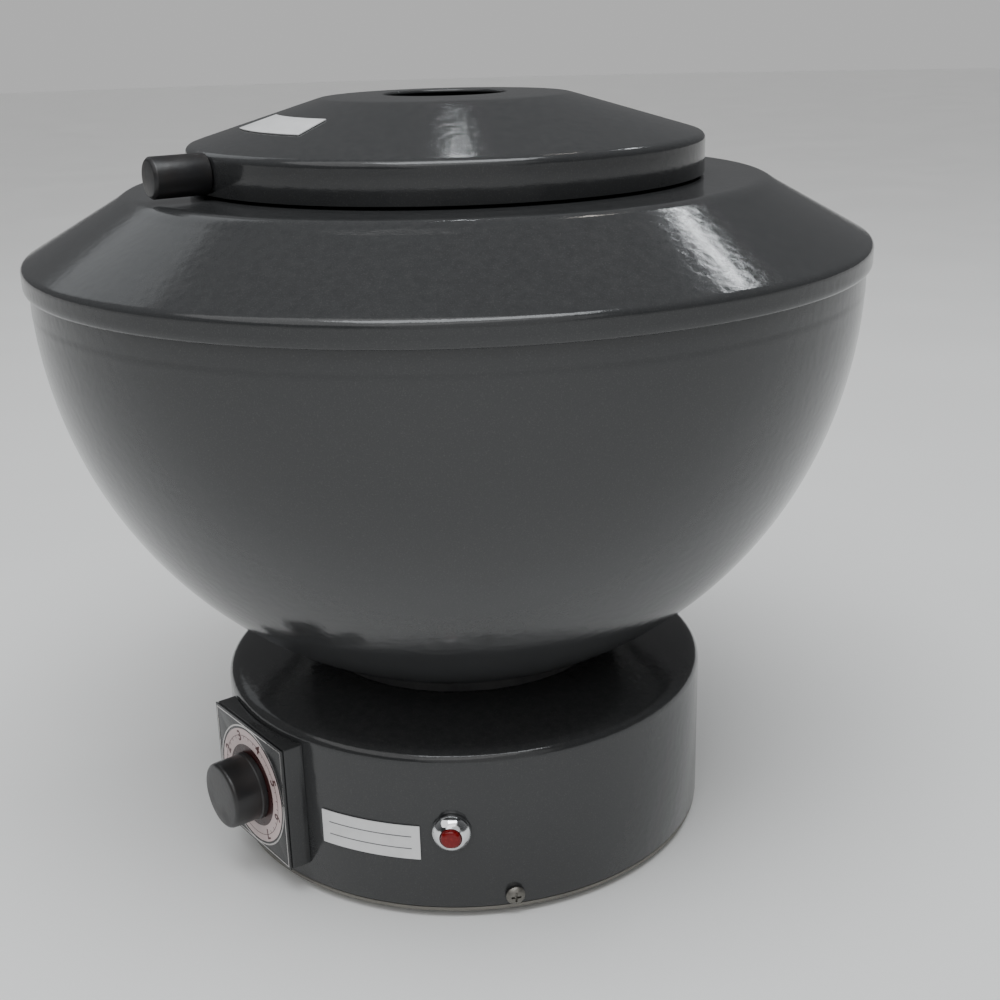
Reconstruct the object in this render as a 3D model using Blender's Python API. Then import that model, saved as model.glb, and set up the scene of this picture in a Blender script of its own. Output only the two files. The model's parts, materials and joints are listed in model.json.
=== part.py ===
"""Benchtop round-bowl centrifuge: drum base, spun bowl, hinged lid, swing-out rotor, speed dial.

The machine's axis is Z, and Z = 0 is the surface that the feet stand on. All sizes are in metres.
A height called *_z is a place on Z. "Out" is the distance from the machine's axis.
"""

import math

import bmesh
import bpy
from mathutils import Matrix, Vector

# Clearances
FIT = 0.0003  # between two pieces that touch
RUNNING = 0.0003  # round a shaft, spindle or hinge pin

# Facets round a turned piece
ROUND_BIG = 36
ROUND_MOTOR = 16
ROUND_SMALL = 14
ROUND_SCREW = 8

# Base: a pressed drum on a screwed-in bottom plate with four push-in rubber feet
BASE_RADIUS = 0.1243
BASE_HEIGHT = 0.090  # bottom plate's underside to the flat on top
BASE_WALL = 0.002
BASE_SHOULDER = 0.0135  # how far the side wall's top lies below the flat on top
BASE_CROWN = 0.0038  # how far the crowned top falls halfway out to the wall
BASE_TOP_HOLE = 0.050
PLATE_THICKNESS = 0.002
PLATE_FLANGE = 0.012
PLATE_VENT = 0.016
FOOT_HEIGHT = 0.004
FOOT_RADIUS = 0.012
FOOT_STEM = 0.0042
FOOT_BARB = 0.0015
FOOT_STEM_RISE = 0.0045
FOOT_INSET = 0.026
FOOT_COUNT = 4
SCREW_COUNT = 4
SCREW_AZIMUTH = -81.0
SCREW_HEIGHT = 0.0073  # above the bottom plate's underside
SCREW_HEAD = 0.0046
SCREW_SHANK = 0.0019
SCREW_HEAD_HEIGHT = 0.0028

# Bowl: half an ellipsoid on a flat floor
BOWL_RADIUS = 0.1974
BOWL_DEPTH = 0.205  # vertical half-axis of the ellipsoid
BOWL_FLOOR = 0.075
BOWL_WALL = 0.0016
BOWL_RIM = 0.0115  # straight wall above the equator
BOWL_RIM_FLANGE = 0.007
BOWL_HOLE = 0.052
SEAT_THICKNESS = 0.0043
SEAT_INNER = 0.0655
BOLT_CIRCLE = 0.070
BOLT_SHANK = 0.0025
BOLT_HEAD = 0.0048
BOLT_HEAD_HEIGHT = 0.004
BOLT_AZIMUTH = 30.0
BOLT_COUNT = 3

# Bowl cover: rolled rim, cone and flat deck round the mouth
COVER_RIM = 0.0026  # how far the rolled rim stands out from the bowl
COVER_RISE = 0.039  # seam to deck
COVER_SEAM = 0.0035  # seam above the bowl's equator
COVER_BAND = 0.0125  # height of the rolled rim
COVER_WALL = 0.0016
DECK_WIDTH = 0.027  # deck outside the lid
LID_OVERLAP = 0.0108  # lid's edge outside the mouth
MOUTH_LIP = 0.006

# Lid
LID_RADIUS = 0.122
LID_HEIGHT = 0.0375
LID_SKIRT = 0.0145
LID_WALL = 0.0016
LID_CREST = 0.057
LID_HOLE = 0.029
LID_DOME = 0.0007  # how far the crest lies below the centre hole's rim
LID_GAP = 0.0015
LID_AZIMUTH = 31.0  # of the hinge; the handle is opposite
HANDLE_RADIUS = 0.009
HANDLE_LENGTH = 0.0255
HANDLE_HEIGHT = 0.011  # axis above the deck
HANDLE_CHAMFER = 0.0013
HANDLE_TAPPED = 0.0023
HANDLE_TAP_DEPTH = 0.015
HANDLE_SCREW = 0.002
HANDLE_SCREW_HEAD = 0.0032
HINGE_OFFSET = 0.014  # axis outside the lid's skirt
HINGE_HEIGHT = 0.0075  # axis above the deck
HINGE_HALF = 0.014
HINGE_KNUCKLE = 0.0042
HINGE_PIN = 0.002
KNUCKLE_HALF = 0.0055  # of the lid's own knuckle
BRACKET_THICKNESS = 0.0018
BRACKET_TAIL = 0.006  # bracket outside the knuckles
LEAF_THICKNESS = 0.0016
LEAF_MARGIN = 0.003  # leaf wider than its knuckle, each side
STRAP_HALF = 0.0015

# Motor, hung from the base's top on three rubber mounts
MOTOR_RADIUS = 0.046
MOTOR_WALL = 0.002
MOTOR_RISE = 0.031  # above the base's top
MOTOR_FLOOR_GAP = 0.007
BELL_HEIGHT = 0.0167
BELL_WALL = 0.0035
BEARING_RADIUS = 0.011
BEARING_WIDTH = 0.007
SHAFT_RADIUS = 0.004
SHAFT_UPPER = 0.006
FLANGE_RADIUS = 0.068
FLANGE_THICKNESS = 0.0025
MOUNT_CIRCLE = 0.0595
MOUNT_RADIUS = 0.0058
MOUNT_HEIGHT = 0.017
MOUNT_STUD = 0.0022
MOUNT_STUD_LENGTH = 0.007
MOUNT_COUNT = 3
MOUNT_AZIMUTH = 90.0
ARMATURE_RADIUS = 0.034
ARMATURE_LENGTH = 0.046
COMMUTATOR_RADIUS = 0.014
COMMUTATOR_LENGTH = 0.014
AIR_GAP = 0.001
GAITER_REACH = 0.010
GAITER_WALL = 0.0022
GAITER_HEIGHT = 0.0065
SHAFT_END_GAP = 0.001

# Swing-out rotor
TRUNNION_DROP = 0.0585  # trunnions below the bowl's equator
BUCKET_RADIUS = 0.0171
BUCKET_WALL = 0.0015
BUCKET_COLLAR = 0.0205
BUCKET_CORNER = 0.003
BUCKET_COLLAR_HEIGHT = 0.0027
BUCKET_COUNT = 4
RING_WALL = 0.004
RING_HEIGHT = 0.010
TRUNNION_RADIUS = 0.0035
TRUNNION_LENGTH = 0.0055
LOADING_GAP = 0.0048  # trunnion ring to mouth, seen from above
SWING_GAP = 0.014  # swinging bucket to bowl
ARM_WIDTH = 0.005
ARM_THICKNESS = 0.012
SLOT_GAP = 0.001  # trunnion ring to arm
SLOT_REACH = 0.033  # slot behind the trunnions, room for a tube's neck
HUB_RADIUS = 0.016
HUB_LENGTH = 0.060
HUB_ABOVE_ARMS = 0.004
CUSHION_THICKNESS = 0.004
NUT_RADIUS = 0.009
NUT_HEIGHT = 0.012

# Speed dial, on a shallow box on the drum
DIAL_AZIMUTH = 215.6
DIAL_WIDTH = 0.0662
DIAL_SIDE = 0.0114  # depth of the box at its two upright edges
DIAL_BOTTOM = 0.0125  # above the bottom plate's underside
DIAL_TOP = 0.0127  # below the base's top
DIAL_WALL = 0.002
DIAL_PLATE = 0.001
BUSHING_RADIUS = 0.0046
SPINDLE_RADIUS = 0.003
SWITCH_RADIUS = 0.017
SWITCH_DEPTH = 0.031
SWITCH_ROOM = 0.003  # round the switch where it passes the drum's wall
SWITCH_END = 0.006  # behind the spindle
BUSHING_PROUD = 0.0015
KNOB_SKIRT = 0.017
KNOB_SKIRT_HEIGHT = 0.0040
KNOB_BODY = 0.0150
KNOB_DEPTH = 0.0175
KNOB_LIFT = 0.0005  # off the dial plate
KNOB_CAP = 0.005  # solid end above the spindle
KNOB_RECESS = 0.0029

# Pilot lamp, labels and the pieces at the back
WALL_GAP = 0.0004  # round a neck in the drum's wall
LAMP_GAP = 0.0058  # label to lamp, along the wall
LAMP_HEIGHT = 0.0438
LAMP_RADIUS = 0.00925
LAMP_NECK = 0.0064
LENS_RADIUS = 0.0047
LAMP_DEPTH = 0.0062
BACK_REACH = 0.006  # a fitting's neck behind the drum's wall
BASE_LABEL_GAP = 0.0101  # dial box to label, along the wall
BASE_LABEL_WIDTH = 0.0505
BASE_LABEL_HEIGHT = 0.0176
BASE_LABEL_Z = 0.0372
LID_LABEL_AZIMUTH = 212.5
LID_LABEL_ANGLE = 35.0
LID_LABEL_OUT = (0.080, 0.0972)
LABEL_THICKNESS = 0.0004
GLAND_AZIMUTH = 90.0
GLAND_HEIGHT = 0.026
GLAND_BORE = 0.0036
GLAND_NECK = 0.0066
GLAND_FLANGE = 0.0092
GLAND_LENGTH = 0.016
GLAND_LOCK = 0.0082
FUSE_AZIMUTH = 62.0
FUSE_HEIGHT = 0.026
FUSE_NECK = 0.0060
FUSE_CAP = 0.0080
FUSE_DEPTH = 0.022

# Places worked out from the sizes above
PLATE_Z = FOOT_HEIGHT
DRUM_Z = PLATE_Z + PLATE_THICKNESS + FIT
BASE_TOP_Z = PLATE_Z + BASE_HEIGHT
BASE_WALL_Z = BASE_TOP_Z - BASE_SHOULDER
FLOOR_Z = BASE_TOP_Z + SEAT_THICKNESS + 2 * FIT
FLOOR_ANGLE = math.acos(BOWL_FLOOR / BOWL_RADIUS)
EQUATOR_Z = FLOOR_Z + BOWL_DEPTH * math.sin(FLOOR_ANGLE)
SEAM_Z = EQUATOR_Z + COVER_SEAM
DECK_Z = SEAM_Z + COVER_RISE
MOUTH_RADIUS = LID_RADIUS - LID_OVERLAP
DECK_RADIUS = LID_RADIUS + DECK_WIDTH
RIM_RADIUS = BOWL_RADIUS + COVER_RIM
LID_Z = DECK_Z + LID_GAP
HINGE_OUT = LID_RADIUS + HINGE_OFFSET
HINGE_Z = DECK_Z + HINGE_HEIGHT
HANDLE_OUT = LID_RADIUS + FIT
HANDLE_Z = DECK_Z + HANDLE_HEIGHT
MOTOR_TOP_Z = BASE_TOP_Z + MOTOR_RISE
MOTOR_BOTTOM_Z = DRUM_Z + MOTOR_FLOOR_GAP
RING_INNER = BUCKET_RADIUS + FIT
RING_OUTER = RING_INNER + RING_WALL
TRUNNION_OUT = MOUTH_RADIUS - RING_OUTER - LOADING_GAP
TRUNNION_Z = EQUATOR_Z - TRUNNION_DROP
SWING_LIMIT = min(BOWL_RADIUS, BOWL_DEPTH) - BOWL_WALL - SWING_GAP
SWING_REACH = SWING_LIMIT - math.hypot(TRUNNION_OUT, TRUNNION_DROP)
BUCKET_DROP = math.sqrt(SWING_REACH**2 - BUCKET_RADIUS**2)
BUCKET_TOP = RING_HEIGHT / 2 + FIT + BUCKET_COLLAR_HEIGHT
HUB_TOP_Z = TRUNNION_Z + ARM_THICKNESS / 2 + HUB_ABOVE_ARMS
DIAL_OUT = math.sqrt(BASE_RADIUS**2 - (DIAL_WIDTH / 2) ** 2) + DIAL_SIDE
DIAL_BOX_OUT = DIAL_OUT - DIAL_PLATE - FIT
DIAL_LOW_Z = PLATE_Z + DIAL_BOTTOM
DIAL_HIGH_Z = BASE_TOP_Z - DIAL_TOP
DIAL_Z = (DIAL_LOW_Z + DIAL_HIGH_Z) / 2
FEET_OUT = BASE_RADIUS - FOOT_INSET
SCREW_Z = PLATE_Z + SCREW_HEIGHT
SEATED = BASE_RADIUS + FIT  # the back of whatever sits on the drum's wall
BEHIND_WALL = BASE_RADIUS - BASE_WALL - FIT
DIAL_EDGE_AZIMUTH = DIAL_AZIMUTH - 360 + math.degrees(math.asin(DIAL_WIDTH / 2 / BASE_RADIUS))
LABEL_START_AZIMUTH = DIAL_EDGE_AZIMUTH + math.degrees(BASE_LABEL_GAP / BASE_RADIUS)
LABEL_END_AZIMUTH = LABEL_START_AZIMUTH + math.degrees(BASE_LABEL_WIDTH / BASE_RADIUS)
LAMP_AZIMUTH = LABEL_END_AZIMUTH + math.degrees((LAMP_GAP + LAMP_RADIUS) / BASE_RADIUS)
LID_CONE_OUT = LID_RADIUS - 0.007
LID_CONE_IN = LID_CREST + 0.005

FINISHES = {
    "charcoal_enamel": ((0.075, 0.078, 0.080), 0.16, 0.35),
    "black_bakelite": ((0.018, 0.017, 0.018), 0.28, 0.0),
    "dial_black": ((0.020, 0.020, 0.022), 0.30, 0.0),
    "chrome": ((0.80, 0.81, 0.83), 0.08, 1.0),
    "zinc_steel": ((0.55, 0.55, 0.54), 0.35, 1.0),
    "bright_steel": ((0.62, 0.62, 0.63), 0.25, 1.0),
    "cast_aluminium": ((0.60, 0.61, 0.62), 0.45, 1.0),
    "laminations": ((0.24, 0.22, 0.21), 0.50, 0.8),
    "black_rubber": ((0.022, 0.022, 0.023), 0.75, 0.0),
    "red_lens": ((0.34, 0.05, 0.05), 0.18, 0.0),
    "label_white": ((0.80, 0.80, 0.81), 0.40, 0.0),
}


def finish(name):
    """The named finish as a Principled material."""
    found = bpy.data.materials.get(name)
    if found:
        return found
    colour, roughness, metallic = FINISHES[name]
    made = bpy.data.materials.new(name)
    made.use_nodes = True
    shader = made.node_tree.nodes["Principled BSDF"]
    shader.inputs["Base Color"].default_value = (*colour, 1.0)
    shader.inputs["Roughness"].default_value = roughness
    shader.inputs["Metallic"].default_value = metallic
    return made


def upright(z=0.0, azimuth=0.0, out=0.0):
    """A frame whose Z is up, X points out along the azimuth, and whose origin lies out along X."""
    return Matrix.Rotation(math.radians(azimuth), 4, "Z") @ Matrix.Translation((out, 0, z))


def outward(azimuth, z):
    """A frame on the machine's axis whose Z points out along the azimuth and whose X is up."""
    turn = Matrix(((0, 0, 1, 0), (0, -1, 0, 0), (1, 0, 0, 0), (0, 0, 0, 1)))
    return upright(z, azimuth) @ turn


def keep(name, bm, finish_name, frame):
    """Turn a bmesh into a named object at a frame."""
    bmesh.ops.recalc_face_normals(bm, faces=bm.faces)
    mesh = bpy.data.meshes.new(name)
    bm.to_mesh(mesh)
    bm.free()
    mesh.shade_smooth()
    mesh.set_sharp_from_angle(angle=math.radians(30))
    piece = bpy.data.objects.new(name, mesh)
    piece.matrix_world = frame
    bpy.context.scene.collection.objects.link(piece)
    if finish_name:
        mesh.materials.append(finish(finish_name))
    return piece


def spun(bm, profile, segments):
    """Spin a profile of (radius, height) points about Z into the bmesh."""
    merge = 1e-6
    verts = [bm.verts.new((radius, 0, height)) for radius, height in profile]
    edges = []
    for one, two in zip(verts, verts[1:] + verts[:1]):
        if one.co.x > 0 or two.co.x > 0:
            edges.append(bm.edges.new((one, two)))
    bmesh.ops.spin(
        bm,
        geom=verts + edges,
        cent=(0, 0, 0),
        axis=(0, 0, 1),
        angle=2 * math.pi,
        steps=segments,
        use_merge=True,
    )
    bmesh.ops.remove_doubles(bm, verts=bm.verts, dist=merge)


def turned(name, profile, segments, finish_name, frame=None):
    """A turned piece. The profile is a closed outline; a stretch on the axis is left out."""
    bm = bmesh.new()
    spun(bm, profile, segments)
    return keep(name, bm, finish_name, frame or Matrix())


def extruded(name, outline, low, high, finish_name, frame=None):
    """An outline of (x, y) points extruded from z = low to z = high."""
    bm = bmesh.new()
    face = bm.faces.new([bm.verts.new((x, y, low)) for x, y in outline])
    grown = bmesh.ops.extrude_face_region(bm, geom=[face])
    top = [item for item in grown["geom"] if isinstance(item, bmesh.types.BMVert)]
    bmesh.ops.translate(bm, verts=top, vec=(0, 0, high - low))
    return keep(name, bm, finish_name, frame or Matrix())


def block(name, low, high, finish_name, frame=None):
    """A box between two corners."""
    outline = [(low[0], low[1]), (high[0], low[1]), (high[0], high[1]), (low[0], high[1])]
    return extruded(name, outline, low[2], high[2], finish_name, frame)


def pegs(name, places, segments=ROUND_SMALL):
    """One guide object of separate cylinders: (frame, radius, low, high) each."""
    bm = bmesh.new()
    for frame, radius, low, high in places:
        bmesh.ops.create_cone(
            bm,
            cap_ends=True,
            segments=segments,
            radius1=radius,
            radius2=radius,
            depth=high - low,
            matrix=frame @ Matrix.Translation((0, 0, (low + high) / 2)),
        )
    return guide(keep(name, bm, None, Matrix()))


def guide(piece):
    """Mark an object as a guide that only shapes others."""
    piece.hide_render = True
    piece.display_type = "WIRE"
    return piece


def shape_with(piece, tool, operation="DIFFERENCE"):
    """Cut a piece with a guide, or join the guide to it."""
    modifier = piece.modifiers.new(tool.name, "BOOLEAN")
    modifier.operation = operation
    modifier.solver = "EXACT"
    modifier.object = tool


def axis_empty(name, frame):
    """An empty on a joint's axis."""
    empty = bpy.data.objects.new(name, None)
    empty.empty_display_size = 0.02
    bpy.context.scene.collection.objects.link(empty)
    empty.matrix_world = frame
    return empty


def hang_on(empty, *pieces):
    """Parent pieces to a joint's empty without moving them."""
    bpy.context.view_layer.update()
    for piece in pieces:
        piece.parent = empty
        piece.matrix_parent_inverse = empty.matrix_world.inverted()


def evenly(count, first=0.0):
    """Azimuths spaced evenly round the axis."""
    return [first + 360.0 * step / count for step in range(count)]


def arc(centre, radius, start, end, steps):
    """Points along an arc, angles in degrees."""
    angles = [math.radians(start + (end - start) * step / steps) for step in range(steps + 1)]
    return [(centre[0] + radius * math.cos(a), centre[1] + radius * math.sin(a)) for a in angles]


def bowl_side(thickness, steps):
    """The bowl's curve from the floor up to the equator, moved inwards by a thickness."""
    radius = BOWL_RADIUS - thickness
    depth = BOWL_DEPTH - thickness
    lowest = math.asin((EQUATOR_Z - FLOOR_Z - thickness) / depth)
    angles = [lowest * (1 - step / steps) for step in range(steps + 1)]
    return [(radius * math.cos(a), EQUATOR_Z - depth * math.sin(a)) for a in angles]


def wall_holes():
    """Holes through the drum's wall: lamp, switch, gland, fuse and bottom-plate screws."""
    inside = BASE_RADIUS - 6 * BASE_WALL
    outside = BASE_RADIUS + 3 * BASE_WALL
    through = inside - 2 * BASE_WALL
    places = [
        (outward(LAMP_AZIMUTH, PLATE_Z + LAMP_HEIGHT), LAMP_NECK + WALL_GAP, inside, outside),
        (outward(DIAL_AZIMUTH, DIAL_Z), SWITCH_RADIUS + SWITCH_ROOM, through, outside),
        (outward(GLAND_AZIMUTH, PLATE_Z + GLAND_HEIGHT), GLAND_NECK + WALL_GAP, inside, outside),
        (outward(FUSE_AZIMUTH, PLATE_Z + FUSE_HEIGHT), FUSE_NECK + WALL_GAP, inside, outside),
    ]
    for azimuth in evenly(SCREW_COUNT, SCREW_AZIMUTH):
        places.append((outward(azimuth, SCREW_Z), SCREW_SHANK + FIT, inside, outside))
    return pegs("wall_hole_guide", places)


def bolt_holes():
    """Holes for the bolts that clamp the bowl, its seat ring and the base's top."""
    low = BASE_TOP_Z - 2 * BASE_WALL
    high = FLOOR_Z + 2 * BOWL_WALL
    radius = BOLT_SHANK + FIT
    azimuths = evenly(BOLT_COUNT, BOLT_AZIMUTH)
    places = [(upright(0, azimuth, BOLT_CIRCLE), radius, low, high) for azimuth in azimuths]
    return pegs("bolt_hole_guide", places, ROUND_SCREW)


def stud_holes():
    """Holes for the studs of the rubber mounts, in the base's top and the motor's flange."""
    low = BASE_TOP_Z - BASE_WALL - MOUNT_HEIGHT - 2 * FLANGE_THICKNESS
    high = BASE_TOP_Z + BASE_WALL
    radius = MOUNT_STUD + FIT
    azimuths = evenly(MOUNT_COUNT, MOUNT_AZIMUTH)
    places = [(upright(0, azimuth, MOUNT_CIRCLE), radius, low, high) for azimuth in azimuths]
    return pegs("stud_hole_guide", places, ROUND_SCREW)


def make_base(wall_guide, bolt_guide, stud_guide):
    """The drum with its rounded shoulder and gently crowned top."""
    flat = BOWL_FLOOR + 0.001
    middle = (flat + BASE_RADIUS) / 2
    outer = [
        (BASE_RADIUS, DRUM_Z),
        (BASE_RADIUS, BASE_WALL_Z),
        (BASE_RADIUS - 0.0006, BASE_WALL_Z + 0.0031),
        (BASE_RADIUS - 0.0023, BASE_WALL_Z + 0.0054),
        (BASE_RADIUS - 0.0058, BASE_WALL_Z + 0.0069),
        (middle, BASE_TOP_Z - BASE_CROWN),
        (flat, BASE_TOP_Z),
        (BASE_TOP_HOLE, BASE_TOP_Z),
    ]
    inner = [
        (BASE_TOP_HOLE, BASE_TOP_Z - BASE_WALL),
        (flat, BASE_TOP_Z - BASE_WALL),
        (middle, BASE_TOP_Z - BASE_CROWN - BASE_WALL),
        (BASE_RADIUS - 0.0066, BASE_WALL_Z + 0.0047),
        (BASE_RADIUS - 0.0034, BASE_WALL_Z + 0.0033),
        (BASE_RADIUS - BASE_WALL, BASE_WALL_Z - 0.0005),
        (BASE_RADIUS - BASE_WALL, DRUM_Z),
    ]
    housing = turned("base_housing", outer + inner, ROUND_BIG, "charcoal_enamel")
    for tool in (wall_guide, bolt_guide, stud_guide):
        shape_with(housing, tool)


def make_base_plate(wall_guide):
    """The bottom plate, with a flange that stands inside the drum's wall."""
    flange = BASE_RADIUS - BASE_WALL - FIT
    top = PLATE_Z + PLATE_THICKNESS
    profile = [
        (PLATE_VENT, PLATE_Z),
        (BASE_RADIUS - FIT, PLATE_Z),
        (BASE_RADIUS - FIT, top),
        (flange, top),
        (flange, top + PLATE_FLANGE),
        (flange - PLATE_THICKNESS, top + PLATE_FLANGE),
        (flange - PLATE_THICKNESS, top),
        (PLATE_VENT, top),
    ]
    plate = turned("base_plate", profile, ROUND_BIG, "zinc_steel")
    shape_with(plate, wall_guide)
    low = PLATE_Z - PLATE_THICKNESS
    high = top + PLATE_THICKNESS
    places = [(upright(0, azimuth, FEET_OUT), FOOT_STEM + FIT, low, high) for azimuth in foot_azimuths()]
    shape_with(plate, pegs("foot_hole_guide", places, ROUND_SCREW))


def foot_azimuths():
    """Where the feet sit: midway between the bottom plate's screws."""
    return evenly(FOOT_COUNT, SCREW_AZIMUTH + 180.0 / FOOT_COUNT)


def make_feet():
    """Push-in rubber feet with a barbed stem above the plate."""
    above = PLATE_Z + PLATE_THICKNESS + FIT
    profile = [
        (0, 0),
        (FOOT_RADIUS - 0.0015, 0),
        (FOOT_RADIUS - 0.0005, 0.001),
        (FOOT_RADIUS, PLATE_Z - FIT),
        (FOOT_STEM, PLATE_Z - FIT),
        (FOOT_STEM, above),
        (FOOT_STEM + FOOT_BARB, above),
        (0, above + FOOT_STEM_RISE),
    ]
    for number, azimuth in enumerate(foot_azimuths(), 1):
        turned(f"foot_{number}", profile, ROUND_SCREW + 4, "black_rubber", upright(0, azimuth, FEET_OUT))


def make_base_screws():
    """Pan-head screws through the drum's wall into the bottom plate's flange."""
    tip = BASE_RADIUS - BASE_WALL - 2 * PLATE_THICKNESS
    profile = [
        (0, tip),
        (SCREW_SHANK, tip),
        (SCREW_SHANK, SEATED),
        (SCREW_HEAD, SEATED),
        (SCREW_HEAD - 0.0008, SEATED + SCREW_HEAD_HEIGHT * 0.68),
        (0, SEATED + SCREW_HEAD_HEIGHT),
    ]
    for number, azimuth in enumerate(evenly(SCREW_COUNT, SCREW_AZIMUTH), 1):
        turned(f"base_screw_{number}", profile, ROUND_SCREW, "zinc_steel", outward(azimuth, SCREW_Z))


def make_bowl(bolt_guide):
    """The chamber bowl, with a straight rim and a flange turned in at its top."""
    rim_z = EQUATOR_Z + BOWL_RIM
    inside = BOWL_RADIUS - BOWL_WALL
    outer = [(BOWL_HOLE, FLOOR_Z)] + bowl_side(0.0, 9) + [(BOWL_RADIUS, rim_z)]
    flange = [
        (BOWL_RADIUS - BOWL_RIM_FLANGE, rim_z),
        (BOWL_RADIUS - BOWL_RIM_FLANGE, rim_z - BOWL_WALL),
        (inside, rim_z - BOWL_WALL),
    ]
    inner = bowl_side(BOWL_WALL, 8)[::-1] + [(BOWL_HOLE, FLOOR_Z + BOWL_WALL)]
    bowl = turned("bowl", outer + flange + inner, ROUND_BIG, "charcoal_enamel")
    shape_with(bowl, bolt_guide)


def make_seat_ring(bolt_guide):
    """The rubber ring that the bowl sits on."""
    low = BASE_TOP_Z + FIT
    high = FLOOR_Z - FIT
    profile = [(SEAT_INNER, low), (BOWL_FLOOR - FIT, low), (BOWL_FLOOR - FIT, high), (SEAT_INNER, high)]
    ring = turned("bowl_seat_ring", profile, ROUND_BIG, "black_rubber")
    shape_with(ring, bolt_guide)


def make_bowl_bolts():
    """Hex bolts on the chamber's floor."""
    seat = FLOOR_Z + BOWL_WALL + FIT
    top = seat + BOLT_HEAD_HEIGHT
    tip = BASE_TOP_Z - BASE_WALL - BOLT_HEAD_HEIGHT
    outline = arc((0, 0), BOLT_HEAD, 0, 300, 5)
    for number, azimuth in enumerate(evenly(BOLT_COUNT, BOLT_AZIMUTH), 1):
        frame = upright(0, azimuth, BOLT_CIRCLE)
        bolt = extruded(f"bowl_bolt_{number}", outline, seat, top, "zinc_steel", frame)
        shank = [(frame, BOLT_SHANK, tip, (seat + top) / 2)]
        shape_with(bolt, pegs(f"bowl_bolt_{number}_guide", shank, ROUND_SCREW), "UNION")


def make_bowl_cover():
    """Rolled rim, cone and deck, with a lip turned up round the mouth."""
    lean = math.atan2(COVER_RISE - COVER_BAND - 0.002, RIM_RADIUS - DECK_RADIUS - 0.008)
    inward = COVER_WALL * math.sin(lean)
    down = COVER_WALL * math.cos(lean)
    cone_low = (RIM_RADIUS - 0.004, SEAM_Z + COVER_BAND)
    cone_high = (DECK_RADIUS + 0.004, DECK_Z - 0.002)
    outer = [
        (MOUTH_RADIUS, DECK_Z + MOUTH_LIP),
        (MOUTH_RADIUS + COVER_WALL, DECK_Z + MOUTH_LIP),
        (MOUTH_RADIUS + COVER_WALL, DECK_Z + 0.001),
        (MOUTH_RADIUS + 0.003, DECK_Z),
        (DECK_RADIUS, DECK_Z),
        cone_high,
        cone_low,
        (RIM_RADIUS - 0.001, SEAM_Z + COVER_BAND - 0.0025),
        (RIM_RADIUS, SEAM_Z + COVER_BAND - 0.0055),
        (RIM_RADIUS, SEAM_Z + 0.0030),
        (RIM_RADIUS - 0.001, SEAM_Z + 0.0005),
        (RIM_RADIUS - 0.0023, SEAM_Z),
    ]
    inner = [
        (RIM_RADIUS - 0.0023, SEAM_Z + COVER_WALL),
        (RIM_RADIUS - COVER_WALL, SEAM_Z + 0.0035),
        (RIM_RADIUS - COVER_WALL, SEAM_Z + COVER_BAND - 0.0058),
        (cone_low[0] - inward, cone_low[1] - down),
        (cone_high[0] - inward, cone_high[1] - down),
        (DECK_RADIUS - 0.0004, DECK_Z - COVER_WALL),
        (MOUTH_RADIUS, DECK_Z - COVER_WALL),
    ]
    turned("bowl_cover", outer + inner, ROUND_BIG, "charcoal_enamel")


def make_motor_can(stud_guide):
    """The motor's tube with its mounting flange."""
    low = MOTOR_BOTTOM_Z + BELL_HEIGHT + FIT
    high = MOTOR_TOP_Z - BELL_HEIGHT - FIT
    flange = BASE_TOP_Z - BASE_WALL - FIT - MOUNT_HEIGHT - FIT
    inside = MOTOR_RADIUS - MOTOR_WALL
    profile = [
        (inside, low),
        (MOTOR_RADIUS, low),
        (MOTOR_RADIUS, flange - FLANGE_THICKNESS),
        (FLANGE_RADIUS, flange - FLANGE_THICKNESS),
        (FLANGE_RADIUS, flange),
        (MOTOR_RADIUS, flange),
        (MOTOR_RADIUS, high),
        (inside, high),
    ]
    can = turned("motor_can", profile, ROUND_MOTOR, "charcoal_enamel")
    shape_with(can, stud_guide)


def bell_profile(tip_z, way):
    """An end bell's outline, from its tip inwards; way is -1 for the top bell and +1 for the bottom."""
    pocket = BEARING_RADIUS + FIT
    shape = [
        (MOTOR_RADIUS, BELL_HEIGHT),
        (MOTOR_RADIUS, BELL_HEIGHT - 0.005),
        (MOTOR_RADIUS - 0.006, 0.0070),
        (pocket + BELL_WALL, 0.0035),
        (pocket + BELL_WALL, 0),
        (SHAFT_RADIUS + 0.0015, 0),
        (SHAFT_RADIUS + 0.0015, BELL_WALL),
        (pocket, BELL_WALL),
        (pocket, BELL_WALL + BEARING_WIDTH + 0.0025),
        (pocket + 0.0025, BELL_WALL + BEARING_WIDTH + 0.0025),
        (pocket + 0.0025, 0.0085),
        (MOTOR_RADIUS - 0.006 - 0.0015, 0.0105),
        (MOTOR_RADIUS - MOTOR_WALL, BELL_HEIGHT - 0.003),
        (MOTOR_RADIUS - MOTOR_WALL, BELL_HEIGHT),
    ]
    return [(radius, tip_z + way * height) for radius, height in shape]


def make_motor_ends():
    """End bells and the two ball bearings in their pockets."""
    turned("motor_top_bell", bell_profile(MOTOR_TOP_Z, -1), ROUND_MOTOR, "cast_aluminium")
    turned("motor_bottom_bell", bell_profile(MOTOR_BOTTOM_Z, 1), ROUND_MOTOR, "cast_aluminium")
    bore = SHAFT_RADIUS + RUNNING
    pocket = BELL_WALL + FIT
    for name, low in (
        ("upper_bearing", MOTOR_TOP_Z - pocket - BEARING_WIDTH),
        ("lower_bearing", MOTOR_BOTTOM_Z + pocket),
    ):
        high = low + BEARING_WIDTH
        profile = [(bore, low), (BEARING_RADIUS, low), (BEARING_RADIUS, high), (bore, high)]
        turned(name, profile, ROUND_MOTOR, "bright_steel")


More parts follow.
